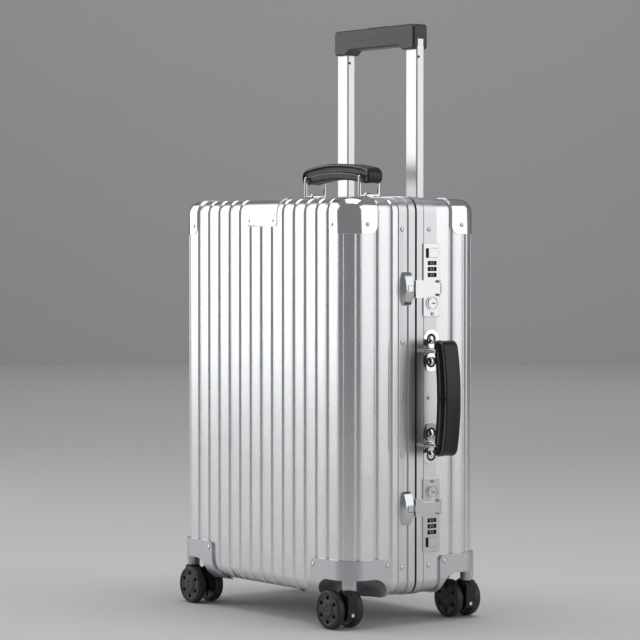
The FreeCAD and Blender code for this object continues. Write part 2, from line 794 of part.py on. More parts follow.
def trolley_button():
    button = rounded(box(-button_length / 2, button_length / 2, trolley_y - button_width / 2,
                         trolley_y + button_width / 2, grip_top - 6.0, grip_top + button_proud), Z_AXIS, 3.0)
    return button.makeFillet(0.8, [e for e in button.Edges
                                   if e.BoundBox.ZLength < 1e-6 and e.BoundBox.ZMin > grip_top])


def cup_box(grow, z0, z1):
    x = grip_half_length + cup_clearance + grow
    y = grip_depth / 2 + cup_clearance + grow
    return rounded(box(-x, x, trolley_y - y, trolley_y + y, z0, z1), Z_AXIS, 4.0 + grow)


def trolley_bezel():
    """Cup that takes the lowered grip, with a raised rim on the top of the case."""
    rim = case_block(-bezel_proud).cut(case_block(0))
    x = grip_half_length + cup_clearance + bezel_margin
    area = rounded(box(-x, x, trolley_y - grip_depth / 2 - cup_clearance - bezel_margin, case_depth,
                       case_top - edge_radius + 2, case_top + 20), Z_AXIS, 7.0)
    cup = cup_box(cup_wall, cup_floor - cup_wall, case_top + 20).common(case_block(-bezel_proud))
    bezel = rim.common(area).fuse(cup).removeSplitter()
    bezel = bezel.cut(cup_box(0, cup_floor, case_top + 40))
    holes = []
    for x_side in (-1, 1):
        x = x_side * trolley_x
        hole = box(x - mid_tube[0] / 2 - part_gap, x + mid_tube[0] / 2 + part_gap,
                   trolley_y - mid_tube[1] / 2 - part_gap, trolley_y + mid_tube[1] / 2 + part_gap, 0, case_top)
        holes.append(rounded(hole, Z_AXIS, 2.0))
    return bezel.cut(holes)


# ---- locks ----

def lock_plate(frame, dial_shaft):
    """Lock case let into the frame, with windows for three dials and the slider."""
    y0, y1 = lock_plate_y
    z0, z1 = lock_plate_z
    skin = half_width + strip_height
    plate = rounded(box(skin, plate_face, y0, y1, z0, z1), X_AXIS, 3.0)
    plate = plate.makeFillet(0.8, [e for e in plate.Edges if e.BoundBox.XLength < 1e-6 and e.BoundBox.XMin > skin + 1])
    case = box(skin - lock_body_depth, skin + 0.5, *lock_body_y, *lock_body_z)
    ring = Part.makeCylinder(key_ring_radius, 1.0, V(plate_face, key_y, key_z), X_AXIS)
    lugs = []
    for z in (lever_z[0] - part_gap - 2.6, lever_z[1] + part_gap):
        lug = box(plate_face - 0.5, plate_face + lug_height, lever_pivot_y - 4.2, lever_pivot_y + 0.5, z, z + 2.6)
        lugs.append(lug)
    plate = fuse([plate, case, ring] + lugs).cut(frame)
    dials_high = first_dial_z + dial_height / 2 + part_gap
    dials_low = first_dial_z - 2 * dial_pitch - dial_height / 2 - part_gap
    assert dials_low > key_z + key_ring_radius and dials_high < slider_window_z[0]
    for k in range(3):
        z = first_dial_z - k * dial_pitch
        half = dial_height / 2 + part_gap
        plate = plate.cut(box(skin - lock_body_depth + 1.5, plate_face + 5, dial_y - dial_radius - fit_gap,
                              dial_y + dial_radius + fit_gap, z - half, z + half))
    slide = box(plate_face - 4.0, plate_face + 5, slider_window_y[0], slider_window_y[1],
                slider_window_z[0], slider_window_z[1])
    key_hole = Part.makeCylinder(key_radius + part_gap, 40, V(skin - lock_body_depth + 1.5, key_y, key_z), X_AXIS)
    groove = Part.makeCylinder(key_groove[0], 10, V(plate_face - key_groove[1], key_y, key_z), X_AXIS)
    lever_pin = rod(V(lever_pivot_x, lever_pivot_y - 1.4, lock_z - lever_drop), Z_AXIS, lever_pin_radius,
                    lever_width + 7.0)
    spot = Part.makeCylinder(indicator_radius, 2.0, V(plate_face - 1.2, key_y, indicator_z), X_AXIS)
    return [plate.cut([slide, key_hole, groove, lever_pin, dial_shaft, spot]), lever_pin]


def dial_shaft():
    z0 = first_dial_z - 2 * dial_pitch - dial_height / 2 - 2.0
    z1 = first_dial_z + dial_height / 2 + 2.0
    return Part.makeCylinder(dial_shaft_radius, z1 - z0, V(dial_x, dial_y, z0), Z_AXIS)


def dial(k):
    """Number wheel with ten thumb notches; the numbers themselves are left off."""
    z = first_dial_z - k * dial_pitch
    drum = rod(V(dial_x, dial_y, z), Z_AXIS, dial_radius, dial_height)
    for n in range(10):
        angle = math.radians(36 * n + 18)
        at = V(dial_x + math.cos(angle) * (dial_radius + 0.5), dial_y + math.sin(angle) * (dial_radius + 0.5), z)
        drum = drum.cut(rod(at, Z_AXIS, 1.0, 2 * dial_height))
    return drum.cut(rod(V(dial_x, dial_y, z), Z_AXIS, dial_shaft_radius + running_clearance, 2 * dial_height))


def slider():
    """Flat thumb slide; it rests at the end of its window away from the seam."""
    y0 = slider_window_y[0] + slider_travel + part_gap
    y1 = slider_window_y[1] - part_gap
    body = box(plate_face - 3.6, plate_face + 0.7, y0, y1, slider_window_z[0] + part_gap, slider_window_z[1] - part_gap)
    return body.makeFillet(0.4, [e for e in body.Edges if e.BoundBox.XMin > plate_face])


def lever():
    """Long latch lever with its claw block over the seam and a tongue in the keeper."""
    back = plate_face + fit_gap
    front = back + lever_thickness
    arm = box(back, front, lever_claw_y[1] - 1, lever_pivot_y - 1.4, lever_z[0], lever_z[1])
    pivot = V(lever_pivot_x, lever_pivot_y - 1.4, lock_z - lever_drop)
    barrel = rod(pivot, Z_AXIS, lever_barrel_radius, lever_width)
    claw = rounded(box(back - 0.9, front + 1.6, lever_claw_y[0], lever_claw_y[1], lever_claw_z[0], lever_claw_z[1]),
                   X_AXIS, 2.0)
    tongue = box(back, front - 0.8, keeper_y[1] - tongue_reach, lever_claw_y[0] + 1, *tongue_z)
    body = fuse([arm, barrel, claw, tongue])
    pin = rod(pivot, Z_AXIS, lever_pin_radius + running_clearance, 3 * lever_width)
    return body.cut(pin)


def key_cylinder():
    """Turning barrel of the key lock with its slot."""
    low = half_width + strip_height - lock_body_depth + 2.0
    barrel = Part.makeCylinder(key_radius, plate_face + 1.6 - low, V(low, key_y, key_z), X_AXIS)
    slot = box(plate_face - 2.0, plate_face + 5, *around(key_y, key_slot[0]), *around(key_z, key_slot[1]))
    return barrel.cut(slot)


def keeper(frame):
    """Half moon block on the lid; its mouth is open outward and toward the lock."""
    skin = half_width + strip_height
    y0, y1 = keeper_y
    z0, z1 = keeper_z
    half = (z1 - z0) / 2
    mid = (z0 + z1) / 2
    block = box(skin, skin + keeper_height, y0, y1, z0, z1)
    crown = (half * half + keeper_crown * keeper_crown) / (2 * keeper_crown)
    arch = rod(V(skin + keeper_height - crown, (y0 + y1) / 2, mid), Y_AXIS, crown, 2 * (y1 - y0))
    reach = math.sqrt(keeper_nose * keeper_nose - keeper_nose_drop * keeper_nose_drop)
    nose = Part.makeSphere(keeper_nose, V(skin - keeper_nose_drop, y0 + reach, mid))
    body = block.common(arch).common(nose)
    mouth = box(plate_face - fit_gap, skin + 4 * keeper_height, y1 - tongue_reach - fit_gap - 3.0, y1 + 10,
                tongue_z[0] - fit_gap, tongue_z[1] + fit_gap)
    return body.cut([mouth, frame])


def lock_pocket():
    """Room for the lock case in the frame, the sheet and the lining."""
    skin = half_width + strip_height
    return box(skin - lock_body_depth, skin + 20, *lock_body_y, *lock_body_z)


# ---- build every node ----

def build_front_half():
    rivets, pins = make_rivets(frame_rivet_places(-1, both_ways(lock_mirror_z, keeper_z), []), rivet_head,
                               rivet_shank, strip_height + wall + frame_inner_flange)
    cap_rivets, cap_pins = make_rivets(cap_rivet_places(-1), rivet_head, rivet_shank, cap_thickness + wall)
    shoe_rivets, shoe_pins = make_rivets(housing_rivet_places(-1), rivet_head, rivet_shank, housing_proud + wall)
    badge_places = [(V(x, -half_depth - badge_thickness, badge_rivet_z), V(0, -1, 0))
                    for x in (-badge_rivet_x, badge_rivet_x)]
    badge_rivets, badge_pins = make_rivets(badge_places, badge_rivet_head, badge_rivet_shank, badge_thickness + wall)
    all_pins = pins + cap_pins + shoe_pins + badge_pins
    save("front_shell", [half_shell(-1, lid_strip_end, lid_side_grooves, lid_corner_grooves, all_pins)])
    bands = ((lip_end, line_end, line_height), (line_end, lid_strip_end, strip_height))
    frame = closing_frame(-1, bands, lid_strip_end, pins + hinge_clearances())
    save("front_frame", [frame])
    save("front_lining", [half_lining(-1, half_depth, lid_strip_end, shoe_pins)])
    save("front_rivets", rivets + cap_rivets + shoe_rivets + badge_rivets)
    save("front_corner_caps", corner_caps(-1, cap_pins))
    save("front_wheel_housings", wheel_housing(-1, shoe_pins))
    save("badge_plate", [badge_plate(badge_pins)])
    block = keeper(frame)
    save("lock_keepers", [block, mirror_lock(block)])
    return frame


def build_back_half():
    foot = around(bail_spacing / 2, bracket_length)
    side_foot = around(side_handle_z + bail_spacing / 2, bracket_length)
    taken_on_side = both_ways(side_handle_z, side_foot) + both_ways(lock_mirror_z, lock_plate_z)
    rivets, pins = make_rivets(frame_rivet_places(1, taken_on_side, both_ways(0, foot)), rivet_head, rivet_shank,
                               strip_height + wall + frame_inner_flange)
    cap_rivets, cap_pins = make_rivets(cap_rivet_places(1), rivet_head, rivet_shank, cap_thickness + wall)
    shoe_rivets, shoe_pins = make_rivets(housing_rivet_places(1), rivet_head, rivet_shank, housing_proud + wall)
    brackets, bracket_pins, bails, grip = handle_set(case_top + strip_height)
    side_pins = [to_side(pin) for pin in bracket_pins]
    pockets = [lock_pocket(), mirror_lock(lock_pocket())]
    cup = cup_box(cup_wall, cup_floor - cup_wall, case_top + 20)
    handle_holes = bracket_pins + side_pins
    save("rear_shell", [half_shell(1, back_strip_end, back_side_grooves, back_corner_grooves,
                                   pins + cap_pins + shoe_pins + handle_holes + pockets + [cup])])
    bands = ((lip_end, line_end, line_height), (line_end, step_end, step_height),
             (step_end, back_strip_end, strip_height))
    frame = closing_frame(1, bands, back_strip_end, pins + handle_holes + pockets + hinge_clearances())
    save("rear_frame", [frame])
    save("rear_lining", [half_lining(1, back_lining_floor, back_strip_end, pockets + shoe_pins)])
    seal = frame_ring(-seal_cover, -seal_cover - seal_thickness, seal_gap - half_seam, half_seam)
    save("seam_seal", [seal])
    save("rear_rivets", rivets + cap_rivets + shoe_rivets)
    save("rear_corner_caps", corner_caps(1, cap_pins))
    save("rear_wheel_housings", wheel_housing(1, shoe_pins))
    save("top_handle_brackets", [piece.cut(frame) for piece in brackets])
    save("side_handle_brackets", [to_side(piece).cut(frame) for piece in brackets])
    save("top_bail_left", [bails[0]])
    save("top_bail_right", [bails[1]])
    save("top_grip", [grip])
    save("side_bail_upper", [to_side(bails[0])])
    save("side_bail_lower", [to_side(bails[1])])
    save("side_grip", [to_side(grip)])
    return frame


def build_hinges():
    back, lid, pins = hinge_set()
    save("rear_hinge_leaves", back)
    save("front_hinge_leaves", lid)
    save("hinge_pins", pins)


def build_trolley():
    foot_block = case_block(wall)
    feet = []
    for x_side in (-1, 1):
        x = x_side * trolley_x
        feet.append(box(x - 17, x + 17, trolley_y - 11, trolley_y + 12, case_bottom, tube_foot).common(foot_block))
    save("trolley_outer_tubes", tube(outer_tube, tube_foot, cup_floor - cup_wall, True))
    save("trolley_feet", feet)
    save("trolley_mid_tubes", tube(mid_tube, tube_foot + tube_end_step, cup_floor - 1.0, True))
    pins = stop_pins()
    tubes = inner_tubes(pins)
    save("trolley_inner_tubes", tubes)
    save("trolley_stop_pins", pins)
    save("trolley_grip", [trolley_grip(tubes)])
    save("trolley_button", [trolley_button()])
    save("trolley_bezel", [trolley_bezel()])


def build_locks(frame):
    shaft = dial_shaft()
    plate = lock_plate(frame, shaft)
    spot = Part.makeCylinder(indicator_radius, 1.6, V(plate_face - 1.2, key_y, indicator_z), X_AXIS)
    pieces = {
        "lock_plate": plate + [shaft, spot],
        "lock_slider": [slider()],
        "lock_lever": [lever()],
        "lock_key_barrel": [key_cylinder()],
    }
    for k in range(3):
        pieces["lock_dial_" + str(k + 1)] = [dial(k)]
    for name, shapes in pieces.items():
        save("upper_" + name, shapes)
        save("lower_" + name, [mirror_lock(shape) for shape in shapes])


def build_casters():
    for side, front_name in ((-1, "front"), (1, "rear")):
        for x_side, x_name in ((-1, "left"), (1, "right")):
            place = front_name + "_" + x_name
            save("caster_fork_" + place, place_caster(caster_fork(), x_side, side))
            for y_side, y_name in ((side, "outer"), (-side, "inner")):
                save("wheel_" + place + "_" + y_name, place_caster(wheel(y_side), x_side, side))


os.makedirs("parts", exist_ok=True)
build_front_half()
back_frame = build_back_half()
build_hinges()
build_trolley()
build_locks(back_frame)
build_casters()
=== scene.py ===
# %% [markdown]
# # A ribbed aluminium suitcase
# The case is two pressed aluminium trays that close on each other like a clam.  Every moving
# part comes from a packed engineering model, which is loaded first and never moved.  On top
# of it this lesson builds the surfaces that catch the eye: ribbed skins, wheels, leather
# grips, and a finish for every metal and plastic.  All lengths here are metres.

# %% Load the fixed frame
import math

import bpy
import bmesh
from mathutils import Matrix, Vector


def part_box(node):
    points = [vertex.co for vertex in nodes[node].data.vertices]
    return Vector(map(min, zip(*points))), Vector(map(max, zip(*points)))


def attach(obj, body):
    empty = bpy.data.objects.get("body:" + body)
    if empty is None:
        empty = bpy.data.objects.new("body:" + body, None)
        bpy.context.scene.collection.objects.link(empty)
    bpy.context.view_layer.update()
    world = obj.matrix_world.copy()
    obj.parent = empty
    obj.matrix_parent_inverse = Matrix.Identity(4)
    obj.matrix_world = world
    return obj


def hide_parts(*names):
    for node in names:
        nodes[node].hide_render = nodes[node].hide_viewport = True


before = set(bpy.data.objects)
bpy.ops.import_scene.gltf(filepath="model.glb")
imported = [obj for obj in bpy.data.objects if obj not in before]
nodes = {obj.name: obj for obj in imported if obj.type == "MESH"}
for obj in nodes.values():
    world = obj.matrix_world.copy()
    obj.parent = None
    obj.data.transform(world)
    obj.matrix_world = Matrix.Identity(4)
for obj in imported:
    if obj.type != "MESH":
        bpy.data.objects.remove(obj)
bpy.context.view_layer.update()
mm = 0.001

# %% [markdown]
# ## Camera first
# The case is seen from its lid side, a quarter turn round to the lock side, from the height
# of its own middle and from far away, so that upright lines stay upright.  A long lens from
# three and a half metres does that.

# %% Camera
azimuth = math.radians(53.67)
elevation = math.radians(1.55)
camera_distance = 3.5776
camera_focal = 149.66         # millimetres, on film 36 mm wide
film_width = 36.0
look_at = Vector((-0.0055, -0.0075, 0.3891))

toward_camera = Vector((math.sin(azimuth) * math.cos(elevation),
                        -math.cos(azimuth) * math.cos(elevation),
                        math.sin(elevation)))
camera_data = bpy.data.cameras.new("camera")
camera_data.lens = camera_focal
camera_data.sensor_width = film_width
camera = bpy.data.objects.new("camera", camera_data)
camera.location = look_at + toward_camera * camera_distance
camera.rotation_euler = toward_camera.to_track_quat("Z", "Y").to_euler()
bpy.context.scene.collection.objects.link(camera)
bpy.context.scene.camera = camera
print("camera at", [round(c, 3) for c in camera.location])

# %% [markdown]
# ## Sizes read from the frame
# The new pieces have to sit exactly where the engineering parts are, so their sizes come
# from the boxes of those parts and not from typed-in guesses.

# %% Sizes of the case
back_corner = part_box("rear_shell")[1]
half_width = back_corner.x
half_depth = back_corner.y
case_top = back_corner.z
case_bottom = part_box("front_shell")[0].z
corner_radius = 26 * mm       # upright corners, seen from above
edge_radius = 18 * mm         # top and bottom edges
print("case", round(half_width * 2, 3), "x", round(half_depth * 2, 3), "top", round(case_top, 3))

# %% [markdown]
# ## Small helpers
# One function turns the hex colours of a paint chart into the linear numbers that Blender
# mixes with, one adds a shader node, and one makes a mesh object out of points and faces.
# The last ones apply modifiers, open a mesh for editing and turn its faces outward.

# %% Colour, node and mesh helpers
def linear(hex_colour):
    """sRGB hex to linear RGBA."""
    values = []
    for k in (0, 2, 4):
        c = int(hex_colour[k:k + 2], 16) / 255
        values.append(c / 12.92 if c <= 0.04045 else ((c + 0.055) / 1.055) ** 2.4)
    return (*values, 1.0)


def add(tree, kind, links=None, **settings):
    """A node with its settings, default values by socket name, and links from other sockets."""
    node = tree.nodes.new(kind)
    for name, value in settings.items():
        setattr(node, name, value)
    for name, value in (links or {}).items():
        socket = node.inputs[name]
        if isinstance(value, bpy.types.NodeSocket):
            tree.links.new(value, socket)
        else:
            socket.default_value = value
    return node


def new_material(name, **surface):
    """A material with one Principled shader; surface sets its sockets, underscores for spaces."""
    material = bpy.data.materials.new(name)
    material.use_nodes = True
    tree = material.node_tree
    tree.nodes.clear()
    out = tree.nodes.new("ShaderNodeOutputMaterial")
    values = {key.replace("_", " "): value for key, value in surface.items()}
    shader = add(tree, "ShaderNodeBsdfPrincipled", values)
    tree.links.new(shader.outputs["BSDF"], out.inputs["Surface"])
    return material, tree, shader


sharp_angle = 35              # degrees; a crease sharper than this stays a hard edge


def link_object(name, mesh):
    obj = bpy.data.objects.new(name, mesh)
    bpy.context.scene.collection.objects.link(obj)
    return obj


def keep_creases(obj, angle=sharp_angle):
    """Marks the edges past an angle in degrees as sharp."""
    obj.data.set_sharp_from_angle(angle=math.radians(angle))


def make_object(name, points, faces, material, crease_angle=sharp_angle):
    """A mesh object with smooth faces and sharp edges past an angle in degrees."""
    mesh = bpy.data.meshes.new(name)
    mesh.from_pydata([tuple(p) for p in points], [], faces)
    mesh.validate()
    obj = link_object(name, mesh)
    mesh.materials.append(material)
    mesh.shade_smooth()
    keep_creases(obj, crease_angle)
    return obj


def freeze(obj):
    """Applies an object's modifiers to its mesh."""
    bpy.context.view_layer.update()
    depsgraph = bpy.context.evaluated_depsgraph_get()
    baked = bpy.data.meshes.new_from_object(obj.evaluated_get(depsgraph))
    old = obj.data
    obj.modifiers.clear()
    obj.data = baked
    bpy.data.meshes.remove(old)


def rework(obj, change):
    """Opens an object's mesh for editing, lets change work on it and writes it back."""
    work = bmesh.new()
    work.from_mesh(obj.data)
    change(work)
    work.to_mesh(obj.data)
    work.free()


def face_out(work):
    bmesh.ops.recalc_face_normals(work, faces=work.faces)

# %% [markdown]
# ## Textures of worked metal
# A finish is mostly a pattern of tiny scratches or grains.  Real brushing lines are a few
# hundredths of a millimetre wide, too fine to draw from this far, so the lines here are
# about half a millimetre wide and only tilt the surface a little.

# %% Pattern helpers
def object_coords(tree, scale):
    """Object coordinates, which are metres in the case's frame, stretched per axis."""
    coords = add(tree, "ShaderNodeTexCoord")
    mapping = add(tree, "ShaderNodeMapping", {"Vector": coords.outputs["Object"], "Scale": scale})
    return mapping.outputs["Vector"]


def noise(tree, vector, scale=1.0, detail=3.0, roughness=0.6):
    """Noise with so many cells to one unit of its vector."""
    made = add(tree, "ShaderNodeTexNoise", {"Vector": vector, "Scale": scale, "Detail": detail,
                                            "Roughness": roughness})
    return made.outputs["Fac"]


def span(tree, value, low, high):
    """Maps a noise, which mostly lies between a quarter and three quarters, to a range."""
    made = add(tree, "ShaderNodeMapRange", {"Value": value, "From Min": 0.25, "From Max": 0.75,
                                            "To Min": low, "To Max": high})
    return made.outputs["Result"]


def bump(tree, height, distance, strength=1.0):
    made = add(tree, "ShaderNodeBump", {"Height": height, "Distance": distance, "Strength": strength})
    return made.outputs["Normal"]


def mix_colour(tree, factor, dark, light):
    """Colours of a pattern; a mix node's colour sockets are its inputs 6 and 7 and output 2."""
    mixed = add(tree, "ShaderNodeMix", {"Factor": factor, 6: linear(dark), 7: linear(light)},
                data_type="RGBA")
    return mixed.outputs[2]

# %% [markdown]
# ## Anodised aluminium
# The ribbed sheet is aluminium with a thin clear oxide.  It is pressed, then brushed up and
# down, so highlights smear sideways into soft upright bands.  Brushing shows as lines that
# are long in Z and narrow in X and Y, which vary the gloss and the tone by a few percent.
# Castings are blasted with fine grit instead, and chrome and caps are polished, so they take
# a round grain that is nearly too weak to see.  One function makes all of them.

# %% Metals
line_pitch = 0.6 * mm         # drawn coarser than real brushing so that it shows at all
cloud_cells = 14.0            # to the metre: broad, uneven patches of oxide


def metal(name, dark, light, rough, lines=None, grain=None, rough_spread=0.06, bump_height=0.0):
    """A bare or anodised metal; lines = stretch per axis of its brushing, grain = blast size."""
    material, tree, shader = new_material(name, Metallic=1.0, Roughness=rough)
    if lines:
        fine = noise(tree, object_coords(tree, [s / line_pitch for s in lines]), 1.0, 2.0)
    else:
        fine = noise(tree, object_coords(tree, (1, 1, 1)), 1.0 / grain, 2.0)
    cloudy = noise(tree, object_coords(tree, (1, 1, 1)), cloud_cells, 3.0)
    both = add(tree, "ShaderNodeMath", {0: fine, 1: cloudy}, operation="ADD")
    half = add(tree, "ShaderNodeMath", {0: both.outputs[0], 1: 0.5}, operation="MULTIPLY")
    tree.links.new(mix_colour(tree, half.outputs[0], dark, light), shader.inputs["Base Color"])
    tree.links.new(span(tree, half.outputs[0], rough - rough_spread, rough + rough_spread),
                   shader.inputs["Roughness"])
    if bump_height:
        tree.links.new(bump(tree, fine, bump_height), shader.inputs["Normal"])
    return material


shell_metal = metal("anodised_ribbed_aluminium", "e2e3e5", "f4f5f6", 0.27, (1, 1, 0.02),
                    bump_height=0.02 * mm)
frame_metal = metal("brushed_frame_aluminium", "d2d3d5", "e8e9ea", 0.33, (1, 1, 0.015),
                    bump_height=0.02 * mm)
cap_metal = metal("polished_corner_aluminium", "eeeeef", "f8f8f8", 0.12, grain=4 * mm, rough_spread=0.03)
housing_metal = metal("blasted_housing_aluminium", "c6c7c9", "d6d7d9", 0.42, grain=0.7 * mm,
                      bump_height=0.03 * mm)
tube_metal = metal("anodised_tube_aluminium", "dedfe0", "efefef", 0.38, (1, 1, 0.01))
chrome_plate = metal("chrome_plate", "e6e7e9", "f4f5f6", 0.08, grain=6 * mm, rough_spread=0.03)
lock_chrome = metal("satin_lock_chrome", "d3d4d6", "e3e4e5", 0.15, grain=3 * mm, rough_spread=0.04)
badge_metal = metal("satin_badge_aluminium", "e6e7e8", "f3f3f4", 0.26, grain=2 * mm, rough_spread=0.04)
rivet_steel = metal("polished_rivet_steel", "dcdddf", "efeff0", 0.15, grain=2 * mm, rough_spread=0.04)
print("metals ready")

# %% [markdown]
# ## Moulded plastics, rubber and wheels
# Plastic parts come out of a steel tool that has been lightly sparked, which leaves a fine
# grain.  It breaks the reflection up without colour.  The grain is drawn at about half a
# millimetre, twice its real size, so that it shows.

# %% Plastics
def plastic(name, dark, light, rough, grain, height, ior=1.5, coat=0.0):
    """A moulded or painted surface; grain and height are the size of its bumps."""
    material, tree, shader = new_material(name, Roughness=rough, IOR=ior, Coat_Weight=coat)
    fine = noise(tree, object_coords(tree, (1, 1, 1)), 1.0 / grain, 2.0)
    broad = noise(tree, object_coords(tree, (1, 1, 1)), 40.0, 3.0)
    tree.links.new(mix_colour(tree, broad, dark, light), shader.inputs["Base Color"])
    tree.links.new(span(tree, broad, rough - 0.06, rough + 0.06), shader.inputs["Roughness"])
    tree.links.new(bump(tree, fine, height), shader.inputs["Normal"])
    return material


fork_nylon = plastic("black_glass_filled_nylon", "0c0c0d", "161617", 0.38, 0.5 * mm, 0.02 * mm)
grip_plastic = plastic("anthracite_abs", "2b2b2d", "39393b", 0.34, 0.4 * mm, 0.02 * mm, coat=0.15)
bezel_plastic = plastic("grey_abs_bezel", "7f8082", "8f9092", 0.40, 0.5 * mm, 0.02 * mm)
tyre_rubber = plastic("polyurethane_tyre", "252527", "343436", 0.46, 0.8 * mm, 0.04 * mm)
hub_plastic = plastic("moulded_wheel_hub", "303032", "3d3d3f", 0.40, 0.5 * mm, 0.02 * mm)
seal_rubber = plastic("black_epdm_seal", "050505", "0c0c0c", 0.60, 0.8 * mm, 0.03 * mm)
dial_plastic = plastic("black_acetal_dial", "101011", "1c1c1d", 0.30, 0.4 * mm, 0.01 * mm)
print("plastics ready")

# %% [markdown]
# ## Leather and lining
# The carrying grips are full grain leather, dyed black and waxed, with a pebbled surface of
# cells about 1.3 mm across.  The lining is a plain woven polyester: two sets of threads that
# cross every 0.8 mm here, about twice as coarse as the real cloth.

# %% Leather and fabric
leather, tree, shader = new_material("waxed_black_leather", Roughness=0.36, IOR=1.46,
                                     Coat_Weight=0.12, Coat_Roughness=0.12)
pebble_size = 1.3 * mm
pebble = add(tree, "ShaderNodeTexVoronoi",
             {"Vector": object_coords(tree, (1, 1, 1)), "Scale": 1 / pebble_size},
             feature="DISTANCE_TO_EDGE")
crease = add(tree, "ShaderNodeMapRange", {"Value": pebble.outputs["Distance"], "From Max": 0.12})
worn = noise(tree, object_coords(tree, (1, 1, 1)), 60.0, 4.0)
tree.links.new(mix_colour(tree, worn, "050505", "0e0e0e"), shader.inputs["Base Color"])
tree.links.new(span(tree, worn, 0.26, 0.42), shader.inputs["Roughness"])
tree.links.new(bump(tree, crease.outputs["Result"], 0.04 * mm, 0.6), shader.inputs["Normal"])

# The piping is painted light grey: a painted highlight standing for the shine along the leather's rolled
# edges.
piping_painted_highlight = plastic("rubbed_leather_piping", "5a5858", "7a7876", 0.24, 0.9 * mm, 0.01 * mm, coat=0.4)
stitch_thread = plastic("waxed_polyester_thread", "2a2a2a", "4a4948", 0.55, 0.3 * mm, 0.03 * mm)

lining_cloth, tree, shader = new_material("woven_polyester_lining", Roughness=0.82, IOR=1.45,
                                          Sheen_Weight=0.25, Sheen_Roughness=0.5)
thread_pitch = 0.8 * mm
thread_cells = 2 * math.pi * 0.16 / thread_pitch      # about one cell of noise to a thread
weave = []
for stretch in ((1, 1, 0.02), (0.02, 0.02, 1)):
    vector = object_coords(tree, [s * thread_cells for s in stretch])
    weave.append(noise(tree, vector, detail=1.0, roughness=0.5))
crossed = add(tree, "ShaderNodeMath", {0: weave[0], 1: weave[1]}, operation="MULTIPLY")
lifted = add(tree, "ShaderNodeMath", {0: crossed.outputs[0], 1: 2.0}, operation="MULTIPLY")
tree.links.new(mix_colour(tree, lifted.outputs[0], "26272b", "3e4046"), shader.inputs["Base Color"])
tree.links.new(bump(tree, crossed.outputs[0], 0.1 * mm), shader.inputs["Normal"])

red_enamel = plastic("red_enamel", "7d1218", "95181f", 0.25, 0.4 * mm, 0.01 * mm)
print("leather and cloth ready")

# %% [markdown]
# ## The ribbed skins
# Each half is pressed from one sheet: a flat face, two upright corners and rounded top and
# bottom edges, with shallow round-bottomed grooves that run up and down and over the edges.
# A modelling tool could cut the grooves out, but pressed metal has no cut edges, so the skin
# is laid out as a grid whose columns crowd together at every groove, and each point is
# simply pushed in by a smooth curve.

# %% Groove shape
groove_pitch = 24.6 * mm
groove_width = 6.0 * mm       # lip to lip, most of it gentle shoulder
groove_depth = 1.7 * mm
band_crown = 0.12 * mm        # the bands between grooves bulge very slightly
column_step = 0.5 * mm        # between the grid's columns inside a groove
columns_beside = 6            # on each side of a groove's middle
corner_step = 3.0 * mm        # the columns' widest spacing round an upright corner
flat_step = 9.0 * mm          # and on flat sheet
face_grooves_beside = 6       # grooves on each side of the middle one of a wide face
tiny = 1e-6


def pressed_in(distance):
    """How deep the sheet is pressed at a distance from the middle of a groove."""
    if abs(distance) >= groove_width / 2:
        return 0.0
    return groove_depth * (0.5 + 0.5 * math.cos(2 * math.pi * distance / groove_width)) ** 0.8


def columns(length, grooves, plain_step):
    """Places along a stretch: close together in grooves, wide apart on bands."""
    places = {0.0, round(length, 7)}
    count = max(1, round(length / plain_step))
    for k in range(1, count):
        places.add(round(length * k / count, 7))
    for centre in grooves:
        for k in range(-columns_beside, columns_beside + 1):
            place = centre + k * column_step
            if 0 < place < length:
                places.add(round(place, 7))
    ordered = sorted(places)
    kept = [ordered[0]]
    for place in ordered[1:]:
        if place - kept[-1] > column_step * 0.45:
            kept.append(place)
    kept[-1] = ordered[-1]
    return kept


# %% Rows of the grid, from the bottom face up and over to the top face
def skin_rows(steps=8, spans=12):
    """Rows as (inset, height, tilt); steps divide each rounded edge and spans the wall."""
    low = case_bottom + edge_radius
    high = case_top - edge_radius
    turns = [math.pi / 2 * k / steps for k in range(1, steps + 1)]
    rows = [(edge_radius * (1 - math.cos(t)), low - edge_radius * math.sin(t), -t) for t in reversed(turns)]
    rows += [(0.0, low + (high - low) * k / spans, 0.0) for k in range(spans + 1)]
    rows += [(edge_radius * (1 - math.cos(t)), high + edge_radius * math.sin(t), t) for t in turns]
    return rows


print("rows of the skin", len(skin_rows()))

# %% [markdown]
# The sheet's path is followed from the closing frame on one side, round a corner, over the
# wide face, round the other corner and back to the frame.  A place along it is one number,
# so grooves and columns can be laid out on a line and only then bent round the case.

# %% The path round one half
arc = corner_radius * math.pi / 2
flat = 2 * (half_width - corner_radius)


def on_path(u, side, straight, frame_edge):
    """Point and outward direction, seen from above, at a place along the sheet's path."""
    beyond = u - straight - arc - flat
    if u <= straight:
        return half_width, side * (frame_edge + u), 1.0, 0.0
    if beyond >= arc:
        return -half_width, side * (frame_edge + straight + arc - beyond), -1.0, 0.0
    if u >= straight + arc and beyond <= 0:
        return half_width - corner_radius - (u - straight - arc), side * half_depth, 0.0, side
    sign = 1 if u < straight + arc else -1
    turn = (u - straight if sign > 0 else arc - beyond) / corner_radius
    nx, ny = sign * math.cos(turn), side * math.sin(turn)
    return (sign * (half_width - corner_radius) + corner_radius * nx,
            side * (half_depth - corner_radius) + corner_radius * ny, nx, ny)


def groove_places(straight, frame_edge, side_grooves, corner_angles):
    """Middles of all grooves along the path, the same from both ends."""
    total = 2 * straight + 2 * arc + flat
    near = [y - frame_edge for y in side_grooves if y - frame_edge < straight]
    near += [straight + math.radians(a) * corner_radius for a in corner_angles]
    wide = [straight + arc + flat / 2 + k * groove_pitch
            for k in range(-face_grooves_beside, face_grooves_beside + 1)]
    return near + wide + [total - p for p in near]


